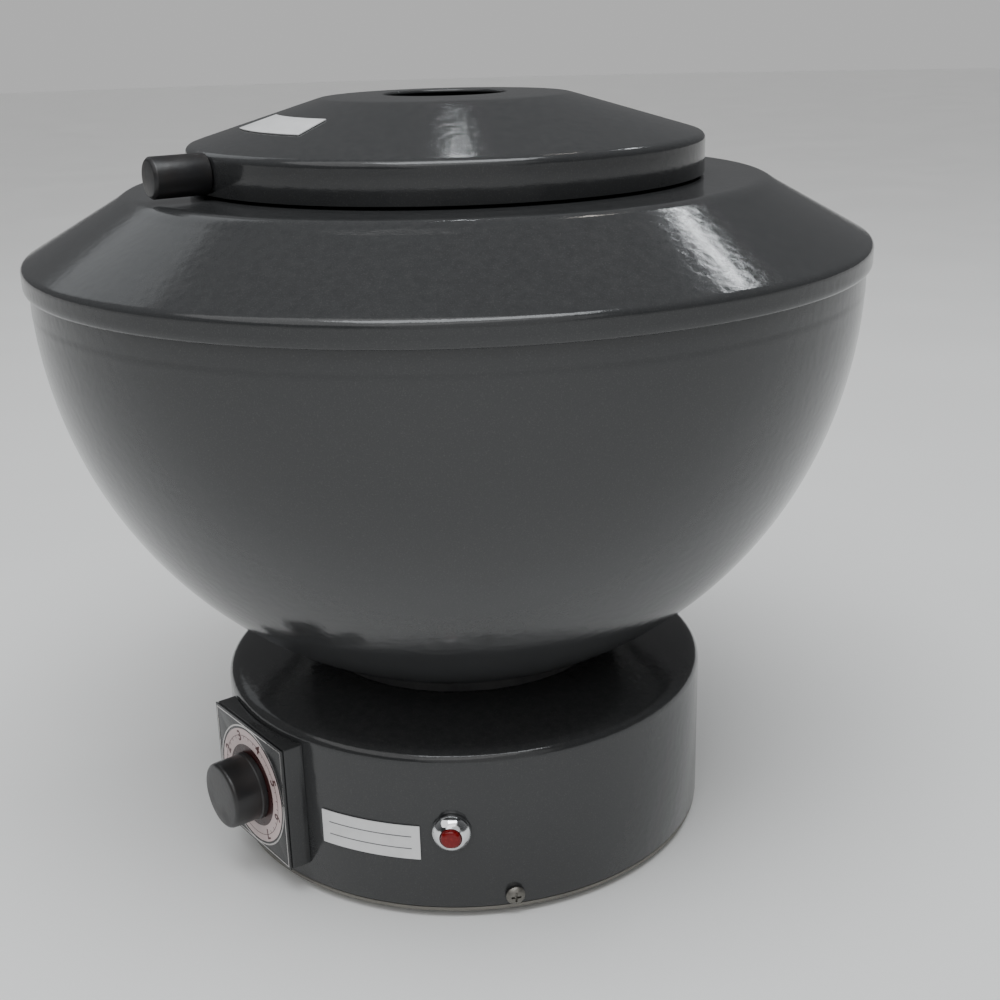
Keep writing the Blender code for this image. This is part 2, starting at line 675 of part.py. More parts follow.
def make_motor_mounts():
    """Rubber mounts with bonded studs between the motor's flange and the base's top."""
    high = BASE_TOP_Z - BASE_WALL - FIT
    low = high - MOUNT_HEIGHT
    top = BASE_TOP_Z + FIT + 0.0012
    profile = [
        (0, low - MOUNT_STUD_LENGTH),
        (MOUNT_STUD, low - MOUNT_STUD_LENGTH),
        (MOUNT_STUD, low),
        (MOUNT_RADIUS, low),
        (MOUNT_RADIUS - 0.001, (low + high) / 2),
        (MOUNT_RADIUS, high),
        (MOUNT_STUD, high),
        (MOUNT_STUD, top),
        (0, top),
    ]
    for number, azimuth in enumerate(evenly(MOUNT_COUNT, MOUNT_AZIMUTH), 1):
        frame = upright(0, azimuth, MOUNT_CIRCLE)
        turned(f"motor_mount_{number}", profile, ROUND_SCREW, "black_rubber", frame)


def make_gaiter():
    """The rubber boot that closes the gap between the motor and the chamber's floor."""
    low = FLOOR_Z + BOWL_WALL + FIT
    inner = MOTOR_RADIUS + FIT
    profile = [
        (inner, low),
        (BOWL_HOLE + GAITER_REACH, low),
        (BOWL_HOLE + GAITER_REACH, low + GAITER_WALL),
        (inner + GAITER_WALL, low + GAITER_WALL),
        (inner + GAITER_WALL, low + GAITER_HEIGHT),
        (inner, low + GAITER_HEIGHT),
    ]
    turned("motor_gaiter", profile, ROUND_MOTOR, "black_rubber")


def core_span():
    """Lowest and highest point of the motor's iron."""
    middle = (MOTOR_BOTTOM_Z + MOTOR_TOP_Z) / 2 - COMMUTATOR_LENGTH / 2
    return middle - ARMATURE_LENGTH / 2, middle + ARMATURE_LENGTH / 2


def make_stator():
    """The field laminations pressed into the can."""
    low, high = core_span()
    inner = ARMATURE_RADIUS + AIR_GAP
    outer = MOTOR_RADIUS - MOTOR_WALL - FIT
    profile = [(inner, low), (outer, low), (outer, high), (inner, high)]
    turned("stator", profile, ROUND_MOTOR, "laminations")


def make_armature():
    """The armature's iron and its commutator, as one ring on the shaft."""
    low, high = core_span()
    bore = SHAFT_RADIUS + FIT
    brush_low = high + 0.002
    brush_high = brush_low + COMMUTATOR_LENGTH
    profile = [
        (bore, low),
        (ARMATURE_RADIUS, low),
        (ARMATURE_RADIUS, high),
        (COMMUTATOR_RADIUS, brush_low),
        (COMMUTATOR_RADIUS, brush_high),
        (bore, brush_high),
    ]
    return turned("armature", profile, ROUND_MOTOR, "laminations")


def make_shaft():
    """The motor's shaft, thicker above the motor where the rotor head sits on it."""
    low = MOTOR_BOTTOM_Z + SHAFT_END_GAP
    thread = HUB_TOP_Z + NUT_HEIGHT * 0.6
    profile = [
        (0, low),
        (SHAFT_RADIUS, low),
        (SHAFT_RADIUS, MOTOR_TOP_Z + 0.003),
        (SHAFT_UPPER, MOTOR_TOP_Z + 0.005),
        (SHAFT_UPPER, HUB_TOP_Z - 0.002),
        (SHAFT_RADIUS, HUB_TOP_Z),
        (SHAFT_RADIUS, thread),
        (0, thread),
    ]
    return turned("motor_shaft", profile, ROUND_SMALL, "bright_steel")


def make_nut():
    """The domed nut that holds the rotor head down."""
    bore = SHAFT_RADIUS + FIT
    low = HUB_TOP_Z + FIT
    roof = low + NUT_HEIGHT * 0.7
    profile = [
        (bore, low),
        (NUT_RADIUS, low),
        (NUT_RADIUS, low + NUT_HEIGHT * 0.55),
        (NUT_RADIUS * 0.62, low + NUT_HEIGHT * 0.9),
        (0, low + NUT_HEIGHT),
        (0, roof),
        (bore, roof),
    ]
    return turned("rotor_nut", profile, ROUND_SMALL, "chrome")


def cross_outline(inner, outer):
    """The rotor head seen from above: a pair of fork arms, repeated round the axis."""
    tip = TRUNNION_OUT + 2 * TRUNNION_RADIUS + 0.001
    slot = TRUNNION_OUT - SLOT_REACH
    lower = [(outer, -outer), (tip, -outer), (tip, -inner), (slot, -inner)]
    upper = [(slot, inner), (tip, inner), (tip, outer)]
    outline = []
    for azimuth in evenly(BUCKET_COUNT):
        turn = Matrix.Rotation(math.radians(azimuth), 2)
        outline += [tuple(turn @ Vector(point)) for point in lower + upper]
    return outline


def make_rotor_head():
    """Four forks in a cross on a tall hub, with holes for the trunnions."""
    inner = RING_OUTER + SLOT_GAP
    outer = inner + ARM_WIDTH
    low = TRUNNION_Z - ARM_THICKNESS / 2
    outline = cross_outline(inner, outer)
    head = extruded("rotor_head", outline, low, low + ARM_THICKNESS, "cast_aluminium")
    hub_low = HUB_TOP_Z - HUB_LENGTH
    hub = pegs("hub_guide", [(Matrix(), HUB_RADIUS, hub_low, HUB_TOP_Z)], ROUND_MOTOR)
    shape_with(head, hub, "UNION")
    past = 0.001
    bore = (Matrix(), SHAFT_UPPER + FIT, hub_low - past, HUB_TOP_Z + past)
    shape_with(head, pegs("hub_bore_guide", [bore]))
    sideways = Matrix.Rotation(math.radians(90), 4, "X")
    reach = outer + past
    holes = []
    for azimuth in evenly(BUCKET_COUNT):
        frame = upright(TRUNNION_Z, azimuth, TRUNNION_OUT) @ sideways
        holes.append((frame, TRUNNION_RADIUS + RUNNING, -reach, reach))
    shape_with(head, pegs("trunnion_hole_guide", holes, ROUND_SCREW))
    return head


def make_trunnion_ring(number, frame):
    """The ring that a bucket drops into, with a trunnion on each side."""
    half = RING_HEIGHT / 2
    profile = [(RING_INNER, -half), (RING_OUTER, -half), (RING_OUTER, half), (RING_INNER, half)]
    ring = turned(f"trunnion_ring_{number}", profile, ROUND_SMALL, "cast_aluminium", frame)
    sideways = frame @ Matrix.Rotation(math.radians(90), 4, "X")
    start = RING_INNER + RING_WALL / 2
    end = RING_OUTER + TRUNNION_LENGTH
    stubs = [(sideways, TRUNNION_RADIUS, start, end), (sideways, TRUNNION_RADIUS, -end, -start)]
    shape_with(ring, pegs(f"trunnion_{number}_guide", stubs, ROUND_SCREW), "UNION")
    return ring


def make_bucket_body(number, frame):
    """The bucket, hung by its collar on the ring."""
    inside = BUCKET_RADIUS - BUCKET_WALL
    collar = RING_HEIGHT / 2 + FIT
    profile = [
        (0, -BUCKET_DROP),
        (BUCKET_RADIUS - BUCKET_CORNER, -BUCKET_DROP),
        (BUCKET_RADIUS, -BUCKET_DROP + BUCKET_CORNER),
        (BUCKET_RADIUS, collar),
        (BUCKET_COLLAR, collar),
        (BUCKET_COLLAR, BUCKET_TOP),
        (inside, BUCKET_TOP),
        (inside, -BUCKET_DROP + BUCKET_WALL),
        (0, -BUCKET_DROP + BUCKET_WALL),
    ]
    return turned(f"bucket_{number}", profile, ROUND_SMALL, "bright_steel", frame)


def make_cushion(number, frame):
    """The rubber cushion on the bucket's floor, dished for a tube's end."""
    low = -BUCKET_DROP + BUCKET_WALL + FIT
    pad = BUCKET_RADIUS - BUCKET_WALL - FIT
    profile = [
        (0, low),
        (pad, low),
        (pad, low + CUSHION_THICKNESS),
        (0, low + CUSHION_THICKNESS * 0.6),
    ]
    return turned(f"bucket_cushion_{number}", profile, ROUND_SMALL, "black_rubber", frame)


def make_bucket(number, azimuth, rotor_empty):
    """One trunnion ring with its bucket and cushion, on its own swing axis."""
    frame = upright(TRUNNION_Z, azimuth, TRUNNION_OUT)
    empty = axis_empty(f"bucket_{number}_axis", frame)
    hang_on(rotor_empty, empty)
    ring = make_trunnion_ring(number, frame)
    bucket = make_bucket_body(number, frame)
    hang_on(empty, ring, bucket, make_cushion(number, frame))


def lid_slope(out):
    """Height of the lid's cone above the lid's lower edge at a distance from the axis."""
    crest = (LID_CONE_IN, LID_HEIGHT - 0.0018)
    foot = (LID_CONE_OUT, LID_SKIRT + 0.0053)
    share = (out - crest[0]) / (foot[0] - crest[0])
    return crest[1] + share * (foot[1] - crest[1])


def make_lid(screw_guide):
    """The lid: skirt, rounded shoulder, cone and slightly domed top with a centre hole."""
    outer = [
        (LID_HOLE, LID_HEIGHT),
        (LID_CREST - 0.012, LID_HEIGHT - 0.0003),
        (LID_CREST, LID_HEIGHT - LID_DOME),
        (LID_CONE_IN, lid_slope(LID_CONE_IN)),
        (LID_CONE_OUT, lid_slope(LID_CONE_OUT)),
        (LID_RADIUS - 0.0032, LID_SKIRT + 0.0034),
        (LID_RADIUS - 0.0008, LID_SKIRT + 0.0006),
        (LID_RADIUS, LID_SKIRT - 0.0030),
        (LID_RADIUS, 0),
    ]
    inner = [
        (LID_RADIUS - LID_WALL, 0),
        (LID_RADIUS - LID_WALL, LID_SKIRT - 0.0034),
        (LID_RADIUS - 0.0042, LID_SKIRT + 0.0020),
        (LID_CONE_OUT - 0.0004, lid_slope(LID_CONE_OUT) - LID_WALL),
        (LID_CONE_IN - 0.0004, lid_slope(LID_CONE_IN) - LID_WALL),
        (LID_CREST, LID_HEIGHT - LID_DOME - LID_WALL),
        (LID_HOLE, LID_HEIGHT - LID_WALL),
    ]
    lid = turned("lid", outer + inner, ROUND_BIG, "charcoal_enamel", upright(LID_Z))
    shape_with(lid, screw_guide)
    return lid


def make_handle(frame):
    """The round lid handle, with a blind tapped hole in its root."""
    start = HANDLE_OUT + FIT
    end = start + HANDLE_LENGTH
    blind = start + HANDLE_TAP_DEPTH
    profile = [
        (HANDLE_TAPPED, start),
        (HANDLE_RADIUS, start),
        (HANDLE_RADIUS, end - HANDLE_CHAMFER),
        (HANDLE_RADIUS - HANDLE_CHAMFER, end),
        (0, end),
        (0, blind),
        (HANDLE_TAPPED, blind),
    ]
    return turned("lid_handle", profile, ROUND_MOTOR, "black_bakelite", frame)


def make_handle_screw(frame):
    """The screw that holds the handle from inside the lid's skirt."""
    seat = (LID_RADIUS - 1.9 * LID_WALL) * math.cos(math.pi / ROUND_BIG) - FIT
    tip = HANDLE_OUT + FIT + HANDLE_TAP_DEPTH - 0.001
    head = 0.0026
    profile = [
        (0, seat - head),
        (HANDLE_SCREW_HEAD - 0.0006, seat - head + 0.0004),
        (HANDLE_SCREW_HEAD, seat),
        (HANDLE_SCREW, seat),
        (HANDLE_SCREW, tip),
        (0, tip),
    ]
    return turned("handle_screw", profile, ROUND_SCREW, "zinc_steel", frame)


def handle_hole(frame):
    """The hole in the lid's skirt for the handle's screw."""
    reach = 4 * LID_WALL
    place = (frame, HANDLE_TAPPED, LID_RADIUS - reach, LID_RADIUS + reach)
    return pegs("handle_hole_guide", [place], ROUND_SCREW)


def knuckle(name, frame, low, high, foot, finish_name):
    """A hinge knuckle along the pin (local Z), standing on a foot: X out, Y up in its outline."""
    outline = arc((0, 0), HINGE_KNUCKLE, 0, 180, 6) + foot
    return extruded(name, outline, low, high, finish_name, frame)


def make_hinge_pin(along):
    """The hinge's pin, a little longer than its bracket."""
    half = HINGE_HALF + 0.001
    profile = [(0, -half), (HINGE_PIN, -half), (HINGE_PIN, half), (0, half)]
    turned("hinge_pin", profile, ROUND_SMALL, "bright_steel", along)


def make_hinge_bracket(axis, along, bore):
    """The bracket on the deck, with a knuckle at each end of the pin."""
    base = -HINGE_HEIGHT + FIT
    low = (-HINGE_KNUCKLE - 0.0012, -HINGE_HALF, base)
    high = (HINGE_KNUCKLE + BRACKET_TAIL, HINGE_HALF, base + BRACKET_THICKNESS)
    bracket = block("hinge_bracket", low, high, "charcoal_enamel", axis)
    foot_z = base + 0.0005
    foot = [(-HINGE_KNUCKLE, foot_z), (HINGE_KNUCKLE, foot_z)]
    gap = KNUCKLE_HALF + FIT
    for number, (start, end) in enumerate(((-HINGE_HALF, -gap), (gap, HINGE_HALF)), 1):
        ear = guide(knuckle(f"hinge_ear_{number}_guide", along, start, end, foot, None))
        shape_with(bracket, ear, "UNION")
    shape_with(bracket, bore)


def make_hinge_leaf(axis, along, bore):
    """The leaf on the lid's skirt, with its knuckle between the bracket's two."""
    back = -HINGE_OFFSET + 0.0004
    half = KNUCKLE_HALF + LEAF_MARGIN
    low = (back, -half, -0.0035)
    high = (back + LEAF_THICKNESS, half, 0.0045)
    leaf = block("hinge_leaf", low, high, "charcoal_enamel", axis)
    root = back + LEAF_THICKNESS / 2
    outline = [(root, STRAP_HALF), (root, -STRAP_HALF), (-HINGE_PIN, -STRAP_HALF), (-HINGE_PIN, STRAP_HALF)]
    bar = guide(extruded("hinge_bar_guide", outline, -KNUCKLE_HALF, KNUCKLE_HALF, None, along))
    shape_with(leaf, bar, "UNION")
    barrel = (along, HINGE_KNUCKLE, -KNUCKLE_HALF, KNUCKLE_HALF)
    shape_with(leaf, pegs("hinge_barrel_guide", [barrel]), "UNION")
    shape_with(leaf, bore)
    return leaf


def make_hinge(axis):
    """Pin, bracket and leaf. The pin lies level, square to the hinge's azimuth."""
    along = axis @ Matrix(((1, 0, 0, 0), (0, 0, -1, 0), (0, 1, 0, 0), (0, 0, 0, 1)))
    reach = HINGE_HALF + 0.006
    bore = pegs("hinge_bore_guide", [(along, HINGE_PIN + RUNNING, -reach, reach)])
    make_hinge_pin(along)
    make_hinge_bracket(axis, along, bore)
    return make_hinge_leaf(axis, along, bore)


def label_patch(name, low, high, span, finish_name):
    """A thin label: its section from low to high, both (out, z), swept over the azimuths in span."""
    tilt = math.atan2(high[1] - low[1], high[0] - low[0])
    lift = (LABEL_THICKNESS * math.sin(tilt), -LABEL_THICKNESS * math.cos(tilt))
    if lift[0] + lift[1] < 0:
        lift = (-lift[0], -lift[1])
    section = [low, high, (high[0] + lift[0], high[1] + lift[1]), (low[0] + lift[0], low[1] + lift[1])]
    bm = bmesh.new()
    at = Matrix.Rotation(math.radians(span[0]), 3, "Z")
    face = bm.faces.new([bm.verts.new(at @ Vector((out, 0, z))) for out, z in section])
    bmesh.ops.spin(
        bm,
        geom=[face],
        cent=(0, 0, 0),
        axis=(0, 0, 1),
        angle=math.radians(span[1] - span[0]),
        steps=8,
    )
    bmesh.ops.remove_doubles(bm, verts=bm.verts, dist=1e-6)
    return keep(name, bm, finish_name, Matrix())


def make_base_label():
    """The blank label on the drum, between the dial and the lamp."""
    middle = PLATE_Z + BASE_LABEL_Z
    low = (SEATED, middle - BASE_LABEL_HEIGHT / 2)
    high = (SEATED, middle + BASE_LABEL_HEIGHT / 2)
    span = (LABEL_START_AZIMUTH, LABEL_END_AZIMUTH)
    label_patch("base_label", low, high, span, "label_white")


def make_lid_label():
    """The blank label on the lid's cone, over the handle."""
    inner, outer = LID_LABEL_OUT
    low = (outer, LID_Z + lid_slope(outer) + FIT)
    high = (inner, LID_Z + lid_slope(inner) + FIT)
    half = LID_LABEL_ANGLE / 2
    span = (LID_LABEL_AZIMUTH - half, LID_LABEL_AZIMUTH + half)
    return label_patch("lid_label", low, high, span, "label_white")


def make_dial(frame):
    """The dial's box, scribed to the drum, and its plate."""
    tall = (DIAL_HIGH_Z - DIAL_LOW_Z) / 2
    wide = DIAL_WIDTH / 2
    behind = BASE_RADIUS - DIAL_WIDTH / 2
    corner = (tall, wide, DIAL_BOX_OUT)
    box = block("dial_box", (-tall, -wide, behind), corner, "charcoal_enamel", frame)
    shape_with(box, pegs("drum_guide", [(Matrix(), SEATED, -0.01, BASE_TOP_Z + 0.05)], ROUND_BIG))
    hollow_low = (-tall + DIAL_WALL, -wide + DIAL_WALL, behind - DIAL_WALL)
    hollow_high = (tall - DIAL_WALL, wide - DIAL_WALL, DIAL_BOX_OUT - DIAL_WALL)
    shape_with(box, guide(block("dial_hollow_guide", hollow_low, hollow_high, None, frame)))
    hole = (frame, BUSHING_RADIUS + FIT, DIAL_BOX_OUT - 2 * DIAL_WALL, DIAL_OUT + DIAL_WALL)
    hole_guide = pegs("bushing_hole_guide", [hole])
    shape_with(box, hole_guide)
    low = (-tall, -wide, DIAL_OUT - DIAL_PLATE)
    plate = block("dial_plate", low, (tall, wide, DIAL_OUT), "dial_black", frame)
    shape_with(plate, hole_guide)


def make_switch(frame):
    """The selector switch, fixed behind the box's front. Returns where its spindle starts."""
    face = DIAL_BOX_OUT - DIAL_WALL - FIT
    back = face - SWITCH_DEPTH
    front = DIAL_OUT + BUSHING_PROUD
    bore = SPINDLE_RADIUS + RUNNING
    profile = [
        (0, back),
        (SWITCH_RADIUS, back),
        (SWITCH_RADIUS, face),
        (BUSHING_RADIUS, face),
        (BUSHING_RADIUS, front),
        (bore, front),
        (bore, back + SWITCH_END),
        (0, back + SWITCH_END),
    ]
    turned("selector_switch", profile, ROUND_SMALL, "black_bakelite", frame)
    return back + SWITCH_END + FIT


def make_knob(frame):
    """The skirted knob, hollow behind for the switch's bushing."""
    base = DIAL_OUT + KNOB_LIFT
    tip = DIAL_OUT + KNOB_DEPTH
    bore = SPINDLE_RADIUS + FIT
    recess = BUSHING_RADIUS + 0.0014
    profile = [
        (recess, base),
        (KNOB_SKIRT, base),
        (KNOB_SKIRT, base + KNOB_SKIRT_HEIGHT - 0.0013),
        (KNOB_SKIRT - 0.0008, base + KNOB_SKIRT_HEIGHT - 0.0004),
        (KNOB_BODY + 0.0002, base + KNOB_SKIRT_HEIGHT),
        (KNOB_BODY - 0.0004, tip - 0.0030),
        (KNOB_BODY - 0.0014, tip - 0.0009),
        (KNOB_BODY - 0.0035, tip),
        (0, tip),
        (0, tip - KNOB_CAP),
        (bore, tip - KNOB_CAP),
        (bore, base + KNOB_RECESS),
        (recess, base + KNOB_RECESS),
    ]
    return turned("selector_knob", profile, ROUND_MOTOR, "black_bakelite", frame)


def make_spindle(frame, start):
    """The switch's spindle, up to the knob's solid end."""
    end = DIAL_OUT + KNOB_DEPTH - KNOB_CAP - FIT
    profile = [(0, start), (SPINDLE_RADIUS, start), (SPINDLE_RADIUS, end), (0, end)]
    return turned("selector_spindle", profile, ROUND_SMALL, "bright_steel", frame)


def make_lamp():
    """Pilot lamp: domed chrome bezel with its neck through the wall, and a small red lens at its tip."""
    frame = outward(LAMP_AZIMUTH, PLATE_Z + LAMP_HEIGHT)
    neck = BEHIND_WALL - BACK_REACH
    bore = LENS_RADIUS + FIT
    tip = SEATED + LAMP_DEPTH
    bezel = [
        (bore, neck),
        (LAMP_NECK, neck),
        (LAMP_NECK, SEATED),
        (LAMP_RADIUS, SEATED),
        (LAMP_RADIUS, SEATED + 0.0011),
        (LAMP_RADIUS - 0.0007, SEATED + 0.0028),
        (LAMP_RADIUS - 0.0021, SEATED + 0.0044),
        (bore + 0.0008, tip - FIT),
        (bore, tip),
    ]
    turned("lamp_bezel", bezel, ROUND_MOTOR, "chrome", frame)
    lens = [
        (0, neck + BASE_WALL),
        (LENS_RADIUS, neck + BASE_WALL),
        (LENS_RADIUS, tip + 0.0003),
        (LENS_RADIUS * 0.80, tip + 0.0013),
        (LENS_RADIUS * 0.45, tip + 0.0019),
        (0, tip + 0.0021),
    ]
    turned("lamp_lens", lens, ROUND_SMALL, "red_lens", frame)


def make_gland():
    """The cable gland at the back of the drum, tapered towards the cable."""
    end = SEATED + GLAND_LENGTH
    profile = [
        (GLAND_BORE, BEHIND_WALL - BACK_REACH),
        (GLAND_LOCK, BEHIND_WALL - BACK_REACH),
        (GLAND_LOCK, BEHIND_WALL - BACK_REACH / 2),
        (GLAND_NECK, BEHIND_WALL - BACK_REACH / 2),
        (GLAND_NECK, SEATED),
        (GLAND_FLANGE, SEATED),
        (GLAND_FLANGE - 0.0004, SEATED + 0.003),
        (GLAND_NECK + 0.0002, SEATED + 0.0045),
        (GLAND_NECK - 0.0010, end),
        (GLAND_BORE, end),
    ]
    frame = outward(GLAND_AZIMUTH, PLATE_Z + GLAND_HEIGHT)
    turned("cable_gland", profile, ROUND_SMALL, "black_rubber", frame)


def make_fuse_holder():
    """The fuse holder beside the gland, with its round cap."""
    profile = [
        (0, BEHIND_WALL - FUSE_DEPTH),
        (FUSE_NECK, BEHIND_WALL - FUSE_DEPTH),
        (FUSE_NECK, SEATED),
        (FUSE_CAP, SEATED),
        (FUSE_CAP, SEATED + 0.002),
        (FUSE_CAP - 0.0014, SEATED + 0.0024),
        (FUSE_CAP - 0.0018, SEATED + 0.008),
        (0, SEATED + 0.009),
    ]
    frame = outward(FUSE_AZIMUTH, PLATE_Z + FUSE_HEIGHT)
    turned("fuse_holder", profile, ROUND_SMALL, "black_bakelite", frame)


def clear_scene():
    """Remove whatever the scene holds."""
    for item in list(bpy.data.objects):
        bpy.data.objects.remove(item, do_unlink=True)


def build_base():
    """The drum, its bottom plate, feet and screws, and what sits on its wall."""
    walls = wall_holes()
    bolts = bolt_holes()
    studs = stud_holes()
    make_base(walls, bolts, studs)
    make_base_plate(walls)
    make_feet()
    make_base_screws()
    make_bowl(bolts)
    make_seat_ring(bolts)
    make_motor_can(studs)
    make_base_label()
    make_lamp()
    make_gland()
    make_fuse_holder()


def build_chamber():
    """The bowl's bolts and cover, and the motor below."""
    make_bowl_bolts()
    make_bowl_cover()
    make_motor_ends()
    make_motor_mounts()
    make_gaiter()
    make_stator()


def build_rotor():
    """What the motor turns, with the four buckets swinging on it."""
    empty = axis_empty("rotor_axis", upright(TRUNNION_Z))
    hang_on(empty, make_armature(), make_shaft(), make_rotor_head(), make_nut())
    for number, azimuth in enumerate(evenly(BUCKET_COUNT), 1):
        make_bucket(number, azimuth, empty)


def build_lid():
    """The lid with its handle and label, on the hinge."""
    handle_frame = outward(LID_AZIMUTH + 180, HANDLE_Z)
    hinge_frame = upright(HINGE_Z, LID_AZIMUTH, HINGE_OUT)
    lid = make_lid(handle_hole(handle_frame))
    handle = make_handle(handle_frame)
    screw = make_handle_screw(handle_frame)
    leaf = make_hinge(hinge_frame)
    hang_on(axis_empty("lid_hinge_axis", hinge_frame), lid, handle, screw, leaf, make_lid_label())


def build_selector():
    """The speed dial with its switch, knob and spindle."""
    frame = outward(DIAL_AZIMUTH, DIAL_Z)
    make_dial(frame)
    spindle = make_spindle(frame, make_switch(frame))
    hang_on(axis_empty("selector_axis", frame), make_knob(frame), spindle)


def build():
    """Model every piece."""
    clear_scene()
    build_base()
    build_chamber()
    build_rotor()
    build_lid()
    build_selector()
    bpy.context.view_layer.update()


build()
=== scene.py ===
"""Benchtop round-bowl centrifuge: finished pieces, finishes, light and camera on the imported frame.

All sizes are in metres. The machine's axis is Z, Z = 0 is the table, and azimuths are in degrees
from +X, turning left. A profile is a list of (distance from the axis, height) points.
"""

import json
import math

import bpy
from bpy.props import FloatProperty, FloatVectorProperty, IntProperty, PointerProperty
from mathutils import Matrix, Vector

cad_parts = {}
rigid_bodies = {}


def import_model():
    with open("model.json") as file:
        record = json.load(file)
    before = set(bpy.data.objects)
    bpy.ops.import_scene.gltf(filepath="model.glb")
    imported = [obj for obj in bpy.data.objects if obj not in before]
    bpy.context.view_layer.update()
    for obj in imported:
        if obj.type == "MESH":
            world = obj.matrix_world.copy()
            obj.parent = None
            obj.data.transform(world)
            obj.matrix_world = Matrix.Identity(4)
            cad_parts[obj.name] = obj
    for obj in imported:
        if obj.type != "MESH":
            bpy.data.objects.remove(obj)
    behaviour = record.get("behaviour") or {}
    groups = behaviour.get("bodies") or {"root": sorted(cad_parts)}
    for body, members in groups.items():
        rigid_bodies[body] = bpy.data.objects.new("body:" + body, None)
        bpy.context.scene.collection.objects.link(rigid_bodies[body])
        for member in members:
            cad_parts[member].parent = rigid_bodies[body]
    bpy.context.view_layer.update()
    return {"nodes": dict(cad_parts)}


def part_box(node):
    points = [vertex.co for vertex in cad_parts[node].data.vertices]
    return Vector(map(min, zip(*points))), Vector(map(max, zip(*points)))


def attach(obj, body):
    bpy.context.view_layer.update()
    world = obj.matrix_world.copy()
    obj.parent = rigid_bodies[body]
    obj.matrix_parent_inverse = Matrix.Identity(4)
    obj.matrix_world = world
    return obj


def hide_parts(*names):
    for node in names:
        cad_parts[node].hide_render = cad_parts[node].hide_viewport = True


for leftover in list(bpy.data.objects):
    bpy.data.objects.remove(leftover, do_unlink=True)

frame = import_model()

bl_info = {
    "name": "Benchtop centrifuge",
    "version": (1, 0, 0),
    "blender": (4, 5, 0),
    "location": "View3D > Sidebar > Centrifuge",
    "description": "Models the outer and inner pieces of a round-bowl centrifuge on its frame",
    "category": "Object",
}

# Azimuths of the fittings on the drum and lid
LID_AZIMUTH = 31.0
DIAL_AZIMUTH = 215.6
GLAND_AZIMUTH = 90.0
FUSE_AZIMUTH = 62.0
BUCKET_AZIMUTHS = (0.0, 90.0, 180.0, 270.0)

# The dial's scale: its numbers, the angle they take up, and the spaces between two of them
SCALE_NUMBERS = "01234567"
SCALE_SWEEP = 300
TICKS_BETWEEN = 4

# Sheet thicknesses and clearances
SHEET = 0.0016
DRUM_SHEET = 0.002
CASE_WALL = 0.002
BUSHING_HOLE = 0.0049
TOUCH = 0.0003


def lowest(node):
    """The lowest corner of a CAD node's box."""
    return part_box(node)[0]


def highest(node):
    """The highest corner of a CAD node's box."""
    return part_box(node)[1]


def middle(node):
    """The middle of a CAD node's box."""
    low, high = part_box(node)
    return (low + high) / 2


def length(name, description, default):
    """A length that a user may change."""
    return FloatProperty(
        name=name, description=description, default=default, min=0.0001, unit="LENGTH", precision=4
    )


def colour(name, description, default):
    """A colour that a user may change."""
    return FloatVectorProperty(
        name=name,
        description=description,
        default=default,
        size=3,
        min=0.0,
        max=1.0,
        subtype="COLOR",
    )


class CentrifugeSizes(bpy.types.PropertyGroup):
    """Sizes of the centrifuge's pieces."""

    drum_radius: length("Drum radius", "Outside of the base drum", highest("base_housing").x)
    drum_top: length("Drum top", "Height of the drum's flat top", highest("base_housing").z)
    drum_shoulder: length("Drum shoulder", "How far the side wall ends below the flat top", 0.0135)
    bowl_radius: length("Bowl radius", "Outside of the bowl at its widest", highest("bowl").x)
    bowl_depth: length("Bowl depth", "Half height of the bowl's full curve", 0.205)
    bowl_rim: length("Bowl rim", "Straight wall above the bowl's widest place", 0.0115)
    cover_radius: length("Cover radius", "Outside of the cover's rim", highest("bowl_cover").x)
    deck_radius: length("Deck radius", "Outside of the flat deck round the lid", 0.149)
    mouth_radius: length("Mouth radius", "Opening in the cover", 0.1112)
    lid_radius: length("Lid radius", "Outside of the lid's skirt", 0.122)
    lid_hole: length("Lid hole", "Radius of the hole in the lid's middle", 0.029)
    handle_radius: length("Handle radius", "Radius of the lid's handle", 0.009)
    dial_width: length("Dial width", "Width of the dial's box", 0.0662)
    band_inner: length("Scale inner radius", "Inside of the dial's pale scale", 0.0209)
    band_outer: length("Scale outer radius", "Outside of the dial's pale scale", 0.0290)
    knob_radius: length("Knob radius", "Radius of the knob's grip", 0.0165)
    lamp_radius: length("Lamp radius", "Outside of the pilot lamp's bezel", 0.00925)
    bucket_radius: length("Bucket radius", "Outside of a swing bucket", 0.0171)
    rounds: IntProperty(
        name="Facets", description="Facets round a large turned piece", default=160, min=24, max=256
    )


class CentrifugeColours(bpy.types.PropertyGroup):
    """Colours of the centrifuge's finishes."""

    enamel: colour("Enamel", "Charcoal enamel on the sheet metal", (0.0300, 0.0308, 0.0318))
    enamel_fleck: colour("Enamel fleck", "Fine pale flecks in the enamel", (0.070, 0.070, 0.068))
    bakelite: colour("Bakelite", "Black moulded handle and knob", (0.015, 0.015, 0.016))
    dial_ground: colour("Dial ground", "The dial plate's ground", (0.012, 0.012, 0.013))
    dial_heart: colour("Dial heart", "The disc inside the scale", (0.040, 0.010, 0.010))
    scale: colour("Scale", "The dial's pale scale band", (0.62, 0.50, 0.49))
    scale_marks: colour("Scale marks", "Numbers and ticks on the dial", (0.060, 0.012, 0.012))
    lens: colour("Lens", "The pilot lamp's red lens", (0.17, 0.003, 0.004))
    label: colour("Label", "The blank labels", (0.72, 0.72, 0.72))
    floor: colour("Floor", "The pale floor", (0.86, 0.86, 0.85))


def sizes():
    """The scene's sizes."""
    return bpy.context.scene.centrifuge_sizes


def colours():
    """The scene's colours."""
    return bpy.context.scene.centrifuge_colours


# Node groups shared by the finishes


